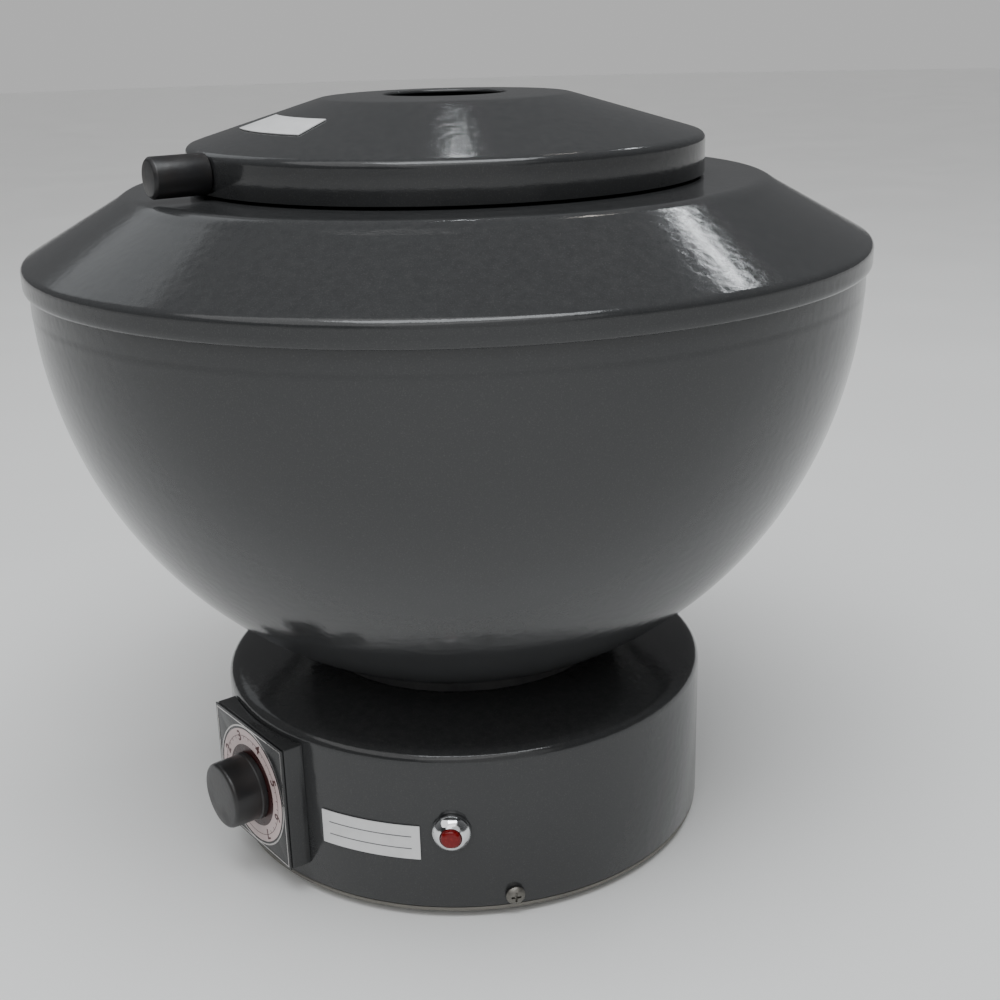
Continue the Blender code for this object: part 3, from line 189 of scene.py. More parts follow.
def group_with(name, inputs, outputs):
    """A new shader group with float inputs (name, default) and named outputs."""
    made = bpy.data.node_groups.new(name, "ShaderNodeTree")
    for label, value in inputs:
        socket = made.interface.new_socket(label, in_out="INPUT", socket_type="NodeSocketFloat")
        socket.default_value = value
    for label in outputs:
        made.interface.new_socket(label, in_out="OUTPUT", socket_type="NodeSocketFloat")
    entry = made.nodes.new("NodeGroupInput")
    leave = made.nodes.new("NodeGroupOutput")
    return made, entry, leave


def noise_in(tree, scale=1.0, detail=2.0, roughness=0.5):
    """A noise texture on Object coordinates."""
    place = tree.nodes.new("ShaderNodeTexCoord")
    noise = tree.nodes.new("ShaderNodeTexNoise")
    noise.inputs["Scale"].default_value = scale
    noise.inputs["Detail"].default_value = detail
    noise.inputs["Roughness"].default_value = roughness
    tree.links.new(place.outputs["Object"], noise.inputs["Vector"])
    return noise


def range_in(tree, source, low, high, to_low=0.0, to_high=1.0):
    """Map a value from one range to another, held at its ends."""
    node = tree.nodes.new("ShaderNodeMapRange")
    node.inputs["From Min"].default_value = low
    node.inputs["From Max"].default_value = high
    node.inputs["To Min"].default_value = to_low
    node.inputs["To Max"].default_value = to_high
    tree.links.new(source, node.inputs["Value"])
    return node.outputs["Result"]


def times(tree, one, two):
    """The product of two sockets."""
    node = tree.nodes.new("ShaderNodeMath")
    node.operation = "MULTIPLY"
    tree.links.new(one, node.inputs[0])
    tree.links.new(two, node.inputs[1])
    return node.outputs["Value"]


def fleck_group():
    """Fine flecks, as in a hammered or metallic enamel."""
    found = bpy.data.node_groups.get("fine_fleck")
    if found:
        return found
    made, entry, leave = group_with("fine_fleck", [("Scale", 1500.0), ("Amount", 0.5)], ["Mask"])
    noise = noise_in(made, detail=1.0)
    made.links.new(entry.outputs["Scale"], noise.inputs["Scale"])
    spots = range_in(made, noise.outputs["Fac"], 0.56, 0.74)
    made.links.new(times(made, spots, entry.outputs["Amount"]), leave.inputs["Mask"])
    return made


def peel_group():
    """Slow and fine waves of a sprayed or moulded skin."""
    found = bpy.data.node_groups.get("skin_waves")
    if found:
        return found
    made, entry, leave = group_with("skin_waves", [("Scale", 300.0), ("Fine", 0.3)], ["Height"])
    slow = noise_in(made, detail=0.0)
    fine = noise_in(made, scale=1400.0, detail=1.0)
    made.links.new(entry.outputs["Scale"], slow.inputs["Scale"])
    total = made.nodes.new("ShaderNodeMath")
    total.operation = "MULTIPLY_ADD"
    made.links.new(fine.outputs["Fac"], total.inputs[0])
    made.links.new(entry.outputs["Fine"], total.inputs[1])
    made.links.new(slow.outputs["Fac"], total.inputs[2])
    made.links.new(total.outputs["Value"], leave.inputs["Height"])
    return made


def smudge_group():
    """Wide soft patches where hands and cloths have dulled or dusted a surface."""
    found = bpy.data.node_groups.get("soft_smudge")
    if found:
        return found
    made, entry, leave = group_with("soft_smudge", [("Scale", 14.0), ("Amount", 0.5)], ["Mask"])
    noise = noise_in(made, detail=4.0, roughness=0.6)
    made.links.new(entry.outputs["Scale"], noise.inputs["Scale"])
    patch = range_in(made, noise.outputs["Fac"], 0.42, 0.70)
    made.links.new(times(made, patch, entry.outputs["Amount"]), leave.inputs["Mask"])
    return made


def dust_and_top_light_group():
    """Dust that settles on what faces up, and painted light: faces that point up are tinted paler,
    as if lit from above.
    """
    found = bpy.data.node_groups.get("settled_dust")
    if found:
        return found
    made, entry, leave = group_with("settled_dust", [("Scale", 60.0), ("Amount", 0.1)], ["Mask"])
    place = made.nodes.new("ShaderNodeTexCoord")
    split = made.nodes.new("ShaderNodeSeparateXYZ")
    made.links.new(place.outputs["Normal"], split.inputs["Vector"])
    # Faces that point up get the pale tint: painted light from above, mixed with dust.
    up = range_in(made, split.outputs["Z"], 0.25, 0.95)
    noise = noise_in(made, detail=5.0, roughness=0.7)
    made.links.new(entry.outputs["Scale"], noise.inputs["Scale"])
    patchy = range_in(made, noise.outputs["Fac"], 0.35, 0.75)
    both = times(made, up, patchy)
    made.links.new(times(made, both, entry.outputs["Amount"]), leave.inputs["Mask"])
    return made


def scratch_group():
    """Fine lines drawn round a piece's height, as brushed or turned metal has."""
    found = bpy.data.node_groups.get("drawn_lines")
    if found:
        return found
    made, entry, leave = group_with("drawn_lines", [("Scale", 900.0)], ["Height"])
    place = made.nodes.new("ShaderNodeTexCoord")
    stretch = made.nodes.new("ShaderNodeMapping")
    stretch.inputs["Scale"].default_value = (0.03, 0.03, 1.0)
    noise = made.nodes.new("ShaderNodeTexNoise")
    noise.inputs["Detail"].default_value = 2.0
    made.links.new(place.outputs["Object"], stretch.inputs["Vector"])
    made.links.new(stretch.outputs["Vector"], noise.inputs["Vector"])
    made.links.new(entry.outputs["Scale"], noise.inputs["Scale"])
    made.links.new(noise.outputs["Fac"], leave.inputs["Height"])
    return made


class Finish:
    """A material being built: its node tree and its Principled shader."""

    def __init__(self, name, base, roughness, metallic=0.0):
        self.material = bpy.data.materials.new(name)
        self.material.use_nodes = True
        self.tree = self.material.node_tree
        self.shader = self.tree.nodes["Principled BSDF"]
        self.shader.inputs["Base Color"].default_value = (*base, 1.0)
        self.shader.inputs["Roughness"].default_value = roughness
        self.shader.inputs["Metallic"].default_value = metallic
        self.tint = None
        self.base = base

    def group(self, tree, **values):
        """Place a shared group with its own values, and return its first output."""
        node = self.tree.nodes.new("ShaderNodeGroup")
        node.node_tree = tree
        for label, value in values.items():
            node.inputs[label].default_value = value
        return node.outputs[0]

    def blend(self, mask, other):
        """Mix another colour over the base where the mask is high."""
        mix = self.tree.nodes.new("ShaderNodeMix")
        mix.data_type = "RGBA"
        if self.tint is None:
            mix.inputs["A"].default_value = (*self.base, 1.0)
        else:
            self.tree.links.new(self.tint, mix.inputs["A"])
        mix.inputs["B"].default_value = (*other, 1.0)
        self.tree.links.new(mask, mix.inputs["Factor"])
        self.tint = mix.outputs["Result"]
        self.tree.links.new(self.tint, self.shader.inputs["Base Color"])

    def rough(self, mask, low, high):
        """Let the roughness run from low to high with the mask."""
        made = range_in(self.tree, mask, 0.0, 1.0, low, high)
        self.tree.links.new(made, self.shader.inputs["Roughness"])

    def bump(self, height, distance, strength=1.0):
        """Raise the surface by a height, in metres."""
        node = self.tree.nodes.new("ShaderNodeBump")
        node.inputs["Distance"].default_value = distance
        node.inputs["Strength"].default_value = strength
        self.tree.links.new(height, node.inputs["Height"])
        self.tree.links.new(node.outputs["Normal"], self.shader.inputs["Normal"])


def enamel():
    """Glossy charcoal enamel with fine flecks, orange peel, faint smudges, and dust with painted
    light on faces that point up.
    """
    found = bpy.data.materials.get("charcoal_enamel_gloss")
    if found:
        return found
    made = Finish("charcoal_enamel_gloss", tuple(colours().enamel), 0.2)
    made.blend(made.group(fleck_group(), Scale=1900.0, Amount=0.35), tuple(colours().enamel_fleck))
    smudge = made.group(smudge_group(), Scale=9.0, Amount=1.0)
    made.rough(smudge, 0.11, 0.15)
    # Painted light as well as dust: faces that point up are tinted paler, standing in for light from
    # above.
    made.blend(made.group(dust_and_top_light_group(), Scale=240.0, Amount=0.035), (0.34, 0.33, 0.32))
    made.bump(made.group(peel_group(), Scale=260.0, Fine=0.45), 0.00007)
    made.shader.inputs["Coat Weight"].default_value = 0.12
    made.shader.inputs["Coat Roughness"].default_value = 0.05
    made.shader.inputs["Specular IOR Level"].default_value = 0.42
    return made.material


def bakelite():
    """Black moulded bakelite, faintly mottled, polished by hands."""
    found = bpy.data.materials.get("black_bakelite_moulded")
    if found:
        return found
    made = Finish("black_bakelite_moulded", tuple(colours().bakelite), 0.28)
    made.blend(made.group(smudge_group(), Scale=90.0, Amount=0.6), (0.020, 0.016, 0.014))
    made.rough(made.group(smudge_group(), Scale=60.0, Amount=1.0), 0.30, 0.46)
    made.bump(made.group(peel_group(), Scale=500.0, Fine=0.4), 0.00004)
    return made.material


def metal(name, base, low, high, lines=0.00002, scale=900.0):
    """A bare metal with drawn lines and slightly uneven gloss."""
    found = bpy.data.materials.get(name)
    if found:
        return found
    made = Finish(name, base, (low + high) / 2, 1.0)
    worn = tuple(part * 0.72 for part in base)
    made.blend(made.group(smudge_group(), Scale=45.0, Amount=0.5), worn)
    made.rough(made.group(smudge_group(), Scale=120.0, Amount=1.0), low, high)
    made.bump(made.group(scratch_group(), Scale=scale), lines)
    return made.material


def chrome():
    """Plated bezel and nut."""
    return metal("plated_chrome", (0.78, 0.79, 0.80), 0.07, 0.20, 0.000006)


def zinc():
    """Zinc-plated bolts and pins."""
    return metal("zinc_plate", (0.50, 0.48, 0.44), 0.28, 0.45, 0.00002)


def dull_zinc():
    """Old zinc plating of the drum's screws and bottom plate."""
    return metal("dull_zinc_plate", (0.23, 0.22, 0.20), 0.38, 0.55, 0.00002)


def steel():
    """Turned stainless buckets and shafts."""
    return metal("turned_steel", (0.58, 0.58, 0.59), 0.18, 0.34, 0.00003)


def castings():
    """Cast aluminium of the rotor head and the motor's bells."""
    found = bpy.data.materials.get("cast_aluminium_grain")
    if found:
        return found
    made = Finish("cast_aluminium_grain", (0.42, 0.43, 0.44), 0.45, 1.0)
    made.blend(made.group(smudge_group(), Scale=30.0, Amount=0.7), (0.28, 0.28, 0.29))
    made.rough(made.group(smudge_group(), Scale=80.0, Amount=1.0), 0.38, 0.58)
    made.bump(made.group(peel_group(), Scale=900.0, Fine=0.8), 0.00010)
    return made.material


def laminations():
    """Stacked iron sheets of the motor's core."""
    return metal("iron_sheets", (0.20, 0.185, 0.175), 0.42, 0.60, 0.00012, 1400.0)


def rubber():
    """Matt black rubber with a bloom."""
    found = bpy.data.materials.get("black_rubber_matt")
    if found:
        return found
    made = Finish("black_rubber_matt", (0.018, 0.018, 0.019), 0.75)
    made.blend(made.group(smudge_group(), Scale=50.0, Amount=0.5), (0.040, 0.039, 0.037))
    made.rough(made.group(smudge_group(), Scale=90.0, Amount=1.0), 0.62, 0.85)
    made.bump(made.group(peel_group(), Scale=700.0, Fine=0.7), 0.00008)
    return made.material


def printed(name, base, low=0.32, high=0.48):
    """A printed or painted film: paper grain and faint stains under a light gloss."""
    found = bpy.data.materials.get(name)
    if found:
        return found
    made = Finish(name, base, (low + high) / 2)
    stained = tuple(part * 0.86 for part in base)
    made.blend(made.group(smudge_group(), Scale=110.0, Amount=0.6), stained)
    made.rough(made.group(smudge_group(), Scale=160.0, Amount=1.0), low, high)
    made.bump(made.group(peel_group(), Scale=1200.0, Fine=0.6), 0.00002)
    return made.material


def red_lens():
    """Translucent red lens, ribbed inside."""
    found = bpy.data.materials.get("red_lens_glass")
    if found:
        return found
    made = Finish("red_lens_glass", tuple(colours().lens), 0.16)
    made.blend(made.group(fleck_group(), Scale=900.0, Amount=0.8), (0.24, 0.008, 0.008))
    made.rough(made.group(smudge_group(), Scale=300.0, Amount=1.0), 0.10, 0.24)
    made.bump(made.group(peel_group(), Scale=900.0, Fine=0.3), 0.00006)
    made.shader.inputs["Specular IOR Level"].default_value = 0.35
    return made.material


# Modelling by hand


def let_go():
    """Leave edit mode and deselect everything."""
    if bpy.context.mode != "OBJECT":
        bpy.ops.object.mode_set(mode="OBJECT")
    bpy.ops.object.select_all(action="DESELECT")


def take(piece):
    """Select one piece alone and make it active."""
    let_go()
    piece.select_set(True)
    bpy.context.view_layer.objects.active = piece


def edit(piece):
    """Open one piece in edit mode with nothing selected."""
    take(piece)
    bpy.ops.object.mode_set(mode="EDIT")
    bpy.ops.mesh.select_all(action="DESELECT")


def named(name):
    """Name the new primitive and return it."""
    piece = bpy.context.active_object
    piece.name = name
    piece.data.name = name
    return piece


def apply(piece, kind, **settings):
    """Add a modifier with its settings and apply it."""
    take(piece)
    modifier = piece.modifiers.new(kind.lower(), kind)
    for label, value in settings.items():
        setattr(modifier, label, value)
    bpy.ops.object.modifier_apply(modifier=modifier.name)


def ease_edges(piece, width, segments=3, angle=30.0):
    """Round the piece's edges that are sharper than an angle."""
    apply(
        piece,
        "BEVEL",
        width=width,
        segments=segments,
        limit_method="ANGLE",
        angle_limit=math.radians(angle),
        use_clamp_overlap=True,
    )


def settle(piece, place, angle=32.0):
    """Put the piece in its place, keep that place in its mesh, and shade it."""
    take(piece)
    piece.matrix_world = place @ piece.matrix_world
    bpy.ops.object.transform_apply(location=True, rotation=True, scale=True)
    bpy.ops.object.shade_smooth_by_angle(angle=math.radians(angle))
    return piece


def spin_profile(name, profile, steps, start=0.0, sweep=360.0):
    """Draw a profile point by point in the plane through the axis, and spin it about Z."""
    let_go()
    turn = Matrix.Rotation(math.radians(start), 3, "Z")
    points = [turn @ Vector((out, 0.0, z)) for out, z in profile]
    bpy.ops.mesh.primitive_plane_add(size=0.001, location=points[0])
    piece = named(name)
    bpy.ops.object.transform_apply(location=True, rotation=True, scale=True)
    bpy.ops.object.mode_set(mode="EDIT")
    bpy.ops.mesh.select_all(action="SELECT")
    bpy.ops.mesh.merge(type="CENTER")
    for here, there in zip(points, points[1:]):
        bpy.ops.mesh.extrude_vertices_move(TRANSFORM_OT_translate={"value": there - here})
    bpy.ops.mesh.select_all(action="SELECT")
    bpy.ops.mesh.remove_doubles(threshold=1e-6)
    bpy.ops.mesh.spin(steps=steps, angle=-math.radians(sweep), center=(0, 0, 0), axis=(0, 0, 1))
    bpy.ops.mesh.select_all(action="SELECT")
    bpy.ops.mesh.remove_doubles(threshold=1e-6)
    bpy.ops.mesh.delete_loose()
    bpy.ops.mesh.select_all(action="SELECT")
    bpy.ops.mesh.normals_make_consistent(inside=False)
    bpy.ops.object.mode_set(mode="OBJECT")
    return piece


def block(name, low, high):
    """A block between two corners."""
    let_go()
    size = Vector(high) - Vector(low)
    bpy.ops.mesh.primitive_cube_add(size=1.0, location=(Vector(low) + Vector(high)) / 2, scale=size)
    piece = named(name)
    bpy.ops.object.transform_apply(location=True, rotation=True, scale=True)
    return piece


def rod(name, radius, low, high, sides=32):
    """A plain rod along Z, for cutting with."""
    let_go()
    place = (0, 0, (low + high) / 2)
    bpy.ops.mesh.primitive_cylinder_add(
        vertices=sides, radius=radius, depth=high - low, location=place
    )
    piece = named(name)
    bpy.ops.object.transform_apply(location=True, rotation=True, scale=True)
    return piece


def cut(piece, tool, operation="DIFFERENCE"):
    """Cut a piece with a tool, or join the tool to it, and throw the tool away."""
    apply(piece, "BOOLEAN", operation=operation, object=tool, solver="EXACT")
    bpy.data.objects.remove(tool, do_unlink=True)
    edit(piece)
    bpy.ops.mesh.select_all(action="SELECT")
    bpy.ops.mesh.dissolve_degenerate(threshold=2e-6)
    bpy.ops.mesh.remove_doubles(threshold=2e-6)
    bpy.ops.object.mode_set(mode="OBJECT")


def copy_of(piece, name, place):
    """A copy with its own mesh, in another place."""
    twin = piece.copy()
    twin.data = piece.data.copy()
    twin.name = name
    twin.data.name = name
    bpy.context.scene.collection.objects.link(twin)
    take(twin)
    twin.matrix_world = place
    bpy.ops.object.transform_apply(location=True, rotation=True, scale=True)
    return twin


def numbered(first, stem, count=4):
    """The first piece and its copies, numbered from 1."""
    rest = range(2, count + 1)
    return [first] + [copy_of(first, f"{stem}_{number}", Matrix()) for number in rest]


def coat(piece, material):
    """Give the whole piece one finish."""
    piece.data.materials.clear()
    piece.data.materials.append(material)


def fit(piece, material, body, slot, *nodes):
    """Finish a piece, let it ride on a body, and hide the CAD nodes it stands for."""
    coat(piece, material)
    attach(piece, body)
    if nodes:
        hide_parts(*nodes)
    return piece


def dress(nodes, material):
    """Give CAD nodes a better finish."""
    for name in nodes:
        node = frame["nodes"][name]
        if not node.material_slots:
            node.data.materials.append(material)
        for slot in node.material_slots:
            slot.material = material


def upright(z=0.0, azimuth=0.0, out=0.0):
    """A frame whose Z is up, X points out along the azimuth, and whose origin lies out along X."""
    return Matrix.Rotation(math.radians(azimuth), 4, "Z") @ Matrix.Translation((out, 0, z))


def outward(azimuth, z):
    """A frame on the machine's axis whose Z points out along the azimuth and whose X is up."""
    turn = Matrix(((0, 0, 1, 0), (0, -1, 0, 0), (1, 0, 0, 0), (0, 0, 0, 1)))
    return upright(z, azimuth) @ turn


def facing(azimuth, z):
    """A frame whose Z points out along the azimuth, with X to a viewer's right and Y up."""
    return outward(azimuth, z) @ Matrix.Rotation(math.radians(-90), 4, "Z")


def rounded(points, rounds=2):
    """Cut the corners of a line of points, keeping its ends."""
    for _ in range(rounds):
        made = [points[0]]
        for one, two in zip(points, points[1:]):
            made.append(tuple(a * 0.75 + b * 0.25 for a, b in zip(one, two)))
            made.append(tuple(a * 0.25 + b * 0.75 for a, b in zip(one, two)))
        made.append(points[-1])
        points = made
    return points


def dial_height():
    """Height of the dial's middle."""
    return middle("dial_plate").z


def dial_front():
    """Distance of the dial plate's face from the machine's axis."""
    corner = max(v.co.xy.length for v in frame["nodes"]["dial_plate"].data.vertices)
    return math.sqrt(corner**2 - (sizes().dial_width / 2) ** 2)


def azimuth_of(node):
    """Azimuth of a CAD node's middle."""
    place = middle(node)
    return math.degrees(math.atan2(place.y, place.x))


class PieceOperator(bpy.types.Operator):
    """What the piece operators share."""

    bl_options = {"REGISTER", "UNDO"}


class CENTRIFUGE_OT_drum(PieceOperator):
    """Model the base drum with its rounded shoulder, and the bottom plate"""

    bl_idname = "centrifuge.drum"
    bl_label = "Drum"

    def execute(self, context):
        self.make_drum()
        self.make_plate()
        return {"FINISHED"}

    def make_drum(self):
        """The drum: wall, shoulder and crowned top."""
        wall = sizes().drum_radius
        top = sizes().drum_top
        shoulder = top - sizes().drum_shoulder
        low = lowest("base_housing").z
        flat = 0.076
        hole = 0.050
        corner = [
            (wall, shoulder - 0.002), (wall, shoulder + 0.0035), (wall - 0.0028, shoulder + 0.0066),
            (wall - 0.0090, shoulder + 0.0078),
        ]
        crown = [(wall - 0.024, top - 0.0037), (flat + 0.010, top - 0.0012), (flat, top)]
        outer = [(wall, low)] + rounded(corner, 3) + rounded(crown, 2) + [(hole, top)]
        inner = [
            (hole, top - DRUM_SHEET), (flat, top - DRUM_SHEET),
            (wall - 0.024, top - 0.0037 - DRUM_SHEET), (wall - 0.010, shoulder + 0.0052),
            (wall - DRUM_SHEET, shoulder - 0.001), (wall - DRUM_SHEET, low), (wall, low),
        ]
        drum = spin_profile("drum", outer + inner, sizes().rounds)
        ease_edges(drum, 0.0005, 2, 50.0)
        settle(drum, Matrix())
        fit(drum, enamel(), "housing", "charcoal_enamel", "base_housing")

    def make_plate(self):
        """The bottom plate with its flange."""
        low = lowest("base_plate").z
        wall = highest("base_plate").x
        vent = 0.016
        thick = DRUM_SHEET
        flange = wall - thick
        profile = [
            (vent, low), (wall, low), (wall, low + thick), (flange, low + thick),
            (flange, low + thick + 0.012), (flange - thick, low + thick + 0.012),
            (flange - thick, low + thick), (vent, low + thick), (vent, low),
        ]
        plate = spin_profile("bottom_plate", profile, sizes().rounds)
        ease_edges(plate, 0.0004, 2, 50.0)
        settle(plate, Matrix())
        fit(plate, dull_zinc(), "housing", "zinc_steel", "base_plate")


class CENTRIFUGE_OT_feet(PieceOperator):
    """Model the rubber feet and the bottom plate's cross-head screws"""

    bl_idname = "centrifuge.feet"
    bl_label = "Feet and screws"

    def execute(self, context):
        self.make_feet()
        self.make_screws()
        return {"FINISHED"}

    def make_feet(self):
        """One foot, copied to the other three places."""
        radius = 0.012
        height = lowest("base_plate").z
        profile = [
            (0, 0), (radius - 0.0015, 0), (radius - 0.0002, 0.0012), (radius, height - TOUCH),
            (0.0042, height - TOUCH), (0.0042, height + 0.0023), (0.0057, height + 0.0023),
            (0, height + 0.0068),
        ]
        first = spin_profile("rubber_foot_1", profile, 48)
        ease_edges(first, 0.0005, 2)
        for number, foot in enumerate(numbered(first, "rubber_foot"), 1):
            node = f"foot_{number}"
            settle(foot, upright(0, azimuth_of(node), middle(node).xy.length))
            fit(foot, rubber(), "housing", "black_rubber", node)

    def make_screws(self):
        """One pan-head screw with a cross recess, copied round the drum."""
        seat = sizes().drum_radius + TOUCH
        head = 0.0046
        profile = [
            (0, seat - 0.006), (0.0019, seat - 0.006), (0.0019, seat), (head, seat),
            (head, seat + 0.0010), (head - 0.0008, seat + 0.0020), (head - 0.0022, seat + 0.0026),
            (0, seat + 0.0028),
        ]
        first = spin_profile("plate_screw_1", profile, 40)
        deep, clear = seat + 0.0013, seat + 0.004
        slot = block("recess", (-0.0024, -0.0005, deep), (0.0024, 0.0005, clear))
        across = block("recess_across", (-0.0005, -0.0024, deep), (0.0005, 0.0024, clear))
        cut(slot, across, "UNION")
        cut(first, slot)
        for number, screw in enumerate(numbered(first, "plate_screw"), 1):
            node = f"base_screw_{number}"
            settle(screw, outward(azimuth_of(node), middle(node).z))
            fit(screw, dull_zinc(), "housing", "zinc_steel", node)


class CENTRIFUGE_OT_bowl(PieceOperator):
    """Model the spun bowl with its flat floor and faint bead"""

    bl_idname = "centrifuge.bowl"
    bl_label = "Bowl"

    def execute(self, context):
        radius = sizes().bowl_radius
        depth = sizes().bowl_depth
        floor = lowest("bowl").z
        rim = highest("bowl").z
        equator = rim - sizes().bowl_rim
        hole = 0.052
        outer = [(hole, floor)] + self.curve(radius, depth, equator, floor, 48)
        outer += self.bead(radius, equator) + [(radius, rim)]
        lip = [(radius - 0.007, rim), (radius - 0.007, rim - SHEET), (radius - SHEET, rim - SHEET)]
        inner = self.curve(radius - SHEET, depth - SHEET, equator, floor + SHEET, 40)[::-1]
        inner += [(hole, floor + SHEET), (hole, floor)]
        bowl = spin_profile("bowl_shell", outer + lip + inner, sizes().rounds)
        settle(bowl, Matrix(), 25.0)
        fit(bowl, enamel(), "housing", "charcoal_enamel", "bowl")
        return {"FINISHED"}

    def curve(self, radius, depth, equator, floor, steps):
        """The bowl's curve from the floor up to just under its widest place."""
        lowest_angle = math.asin((equator - floor) / depth)
        span = math.radians(2.6) - lowest_angle
        angles = [lowest_angle + span * step / steps for step in range(steps + 1)]
        return [(radius * math.cos(a), equator - depth * math.sin(a)) for a in angles]

    def bead(self, radius, equator):
        """A shallow line rolled round the bowl below its rim."""
        return [
            (radius, equator - 0.0070), (radius - 0.00012, equator - 0.0060),
            (radius, equator - 0.0050),
        ]


class CENTRIFUGE_OT_cover(PieceOperator):
    """Model the bowl's cover: rolled rim, cone, deck and mouth"""

    bl_idname = "centrifuge.cover"
    bl_label = "Bowl cover"

    def execute(self, context):
        rim = sizes().cover_radius
        deck = sizes().deck_radius
        mouth = sizes().mouth_radius
        seam = lowest("bowl_cover").z
        lip = highest("bowl_cover").z
        deck_z = lip - 0.006
        roll = [
            (rim - 0.0024, seam), (rim, seam + 0.0002), (rim, seam + 0.0060), (rim, seam + 0.0102),
            (rim - 0.0036, seam + 0.0123), (rim - 0.0085, seam + 0.0151),
        ]
        edge = [
            (deck + 0.008, deck_z - 0.0045), (deck + 0.001, deck_z + 0.0001),
            (deck - 0.006, deck_z),
        ]
        turn_up = [
            (mouth + 0.0045, deck_z), (mouth + SHEET, deck_z + 0.0004),
            (mouth + SHEET, lip - 0.0012), (mouth + SHEET / 2, lip), (mouth, lip - 0.0012),
        ]
        outer = rounded(roll, 2) + rounded(edge, 2) + rounded(turn_up, 1)
        lean = math.atan2(deck_z - seam - 0.0151, rim - deck - 0.0085)
        inward = SHEET * math.sin(lean)
        down = SHEET * math.cos(lean)
        inner = [
            (mouth, deck_z - SHEET), (deck, deck_z - SHEET),
            (deck + 0.008 - inward, deck_z - 0.0045 - down),
            (rim - 0.0085 - inward, seam + 0.0151 - down), (rim - SHEET - 0.0010, seam + 0.0090),
            (rim - SHEET, seam + 0.0040), (rim - 0.0024, seam + SHEET), (rim - 0.0024, seam),
        ]
        cover = spin_profile("cover_shell", outer + inner, sizes().rounds)
        settle(cover, Matrix(), 40.0)
        fit(cover, enamel(), "housing", "charcoal_enamel", "bowl_cover")
        return {"FINISHED"}


def lid_line():
    """The lid's outer line in three stretches, from the hole's edge out and down to the skirt."""
    foot = lowest("lid").z
    crest = highest("lid").z
    skirt = sizes().lid_radius
    hole = sizes().lid_hole
    rim = [(hole, crest - 0.0010), (hole + 0.0001, crest - 0.0005), (hole + 0.0005, crest - 0.0001)]
    rim += [(hole + 0.0010, crest), (hole + 0.0015, crest), (hole + 0.0022, crest)]
    top = [
        (0.045, crest - 0.0003), (0.0575, crest - 0.0006), (0.061, crest - 0.0015),
        (0.066, crest - 0.0030),
    ]
    shoulder = [
        (skirt - 0.0060, foot + 0.01947), (skirt, foot + 0.01755), (skirt, foot + 0.0125),
    ]
    return rim + rounded(top, 3), rounded(shoulder, 3), [(skirt, foot)]


class CENTRIFUGE_OT_lid(PieceOperator):
    """Model the lid with its centre hole, cone, rounded shoulder and skirt"""

    bl_idname = "centrifuge.lid"
    bl_label = "Lid"

    def execute(self, context):
        foot = lowest("lid").z
        crest = highest("lid").z
        skirt = sizes().lid_radius
        top, shoulder, edge = lid_line()
        outer = top + shoulder + edge
        inner = [
            (skirt - SHEET, foot), (skirt - SHEET, foot + 0.0100), (skirt - SHEET, foot + 0.0150),
            (skirt - 0.0060, foot + 0.01775), (0.0655, crest - 0.0046), (0.0570, crest - 0.0024),
            (0.0450, crest - 0.0020), (sizes().lid_hole, crest - SHEET),
            top[0],
        ]
        lid = spin_profile("lid_shell", outer + inner, sizes().rounds)
        ease_edges(lid, 0.0004, 2, 60.0)
        settle(lid, Matrix(), 40.0)
        fit(lid, enamel(), "lid", "charcoal_enamel", "lid")
        return {"FINISHED"}


class CENTRIFUGE_OT_handle(PieceOperator):
    """Model the lid's round handle"""

    bl_idname = "centrifuge.handle"
    bl_label = "Lid handle"

    def execute(self, context):
        radius = sizes().handle_radius
        root = sizes().lid_radius + 2 * TOUCH
        end = root + 0.0255
        profile = [
            (0, root), (radius, root), (radius, end - 0.0013), (radius - 0.0013, end), (0, end),
        ]
        handle = spin_profile("handle_grip", profile, 64)
        ease_edges(handle, 0.0004, 3, 25.0)
        settle(handle, outward(LID_AZIMUTH + 180, middle("lid_handle").z))
        fit(handle, bakelite(), "lid", "black_bakelite", "lid_handle")
        return {"FINISHED"}


class CENTRIFUGE_OT_hinge(PieceOperator):
    """Finish the hinge's bracket, leaf and pin, and the handle's screw"""

    bl_idname = "centrifuge.hinge"
    bl_label = "Hinge"

    def execute(self, context):
        dress(["hinge_bracket", "hinge_leaf"], enamel())
        dress(["hinge_pin", "handle_screw"], zinc())
        return {"FINISHED"}


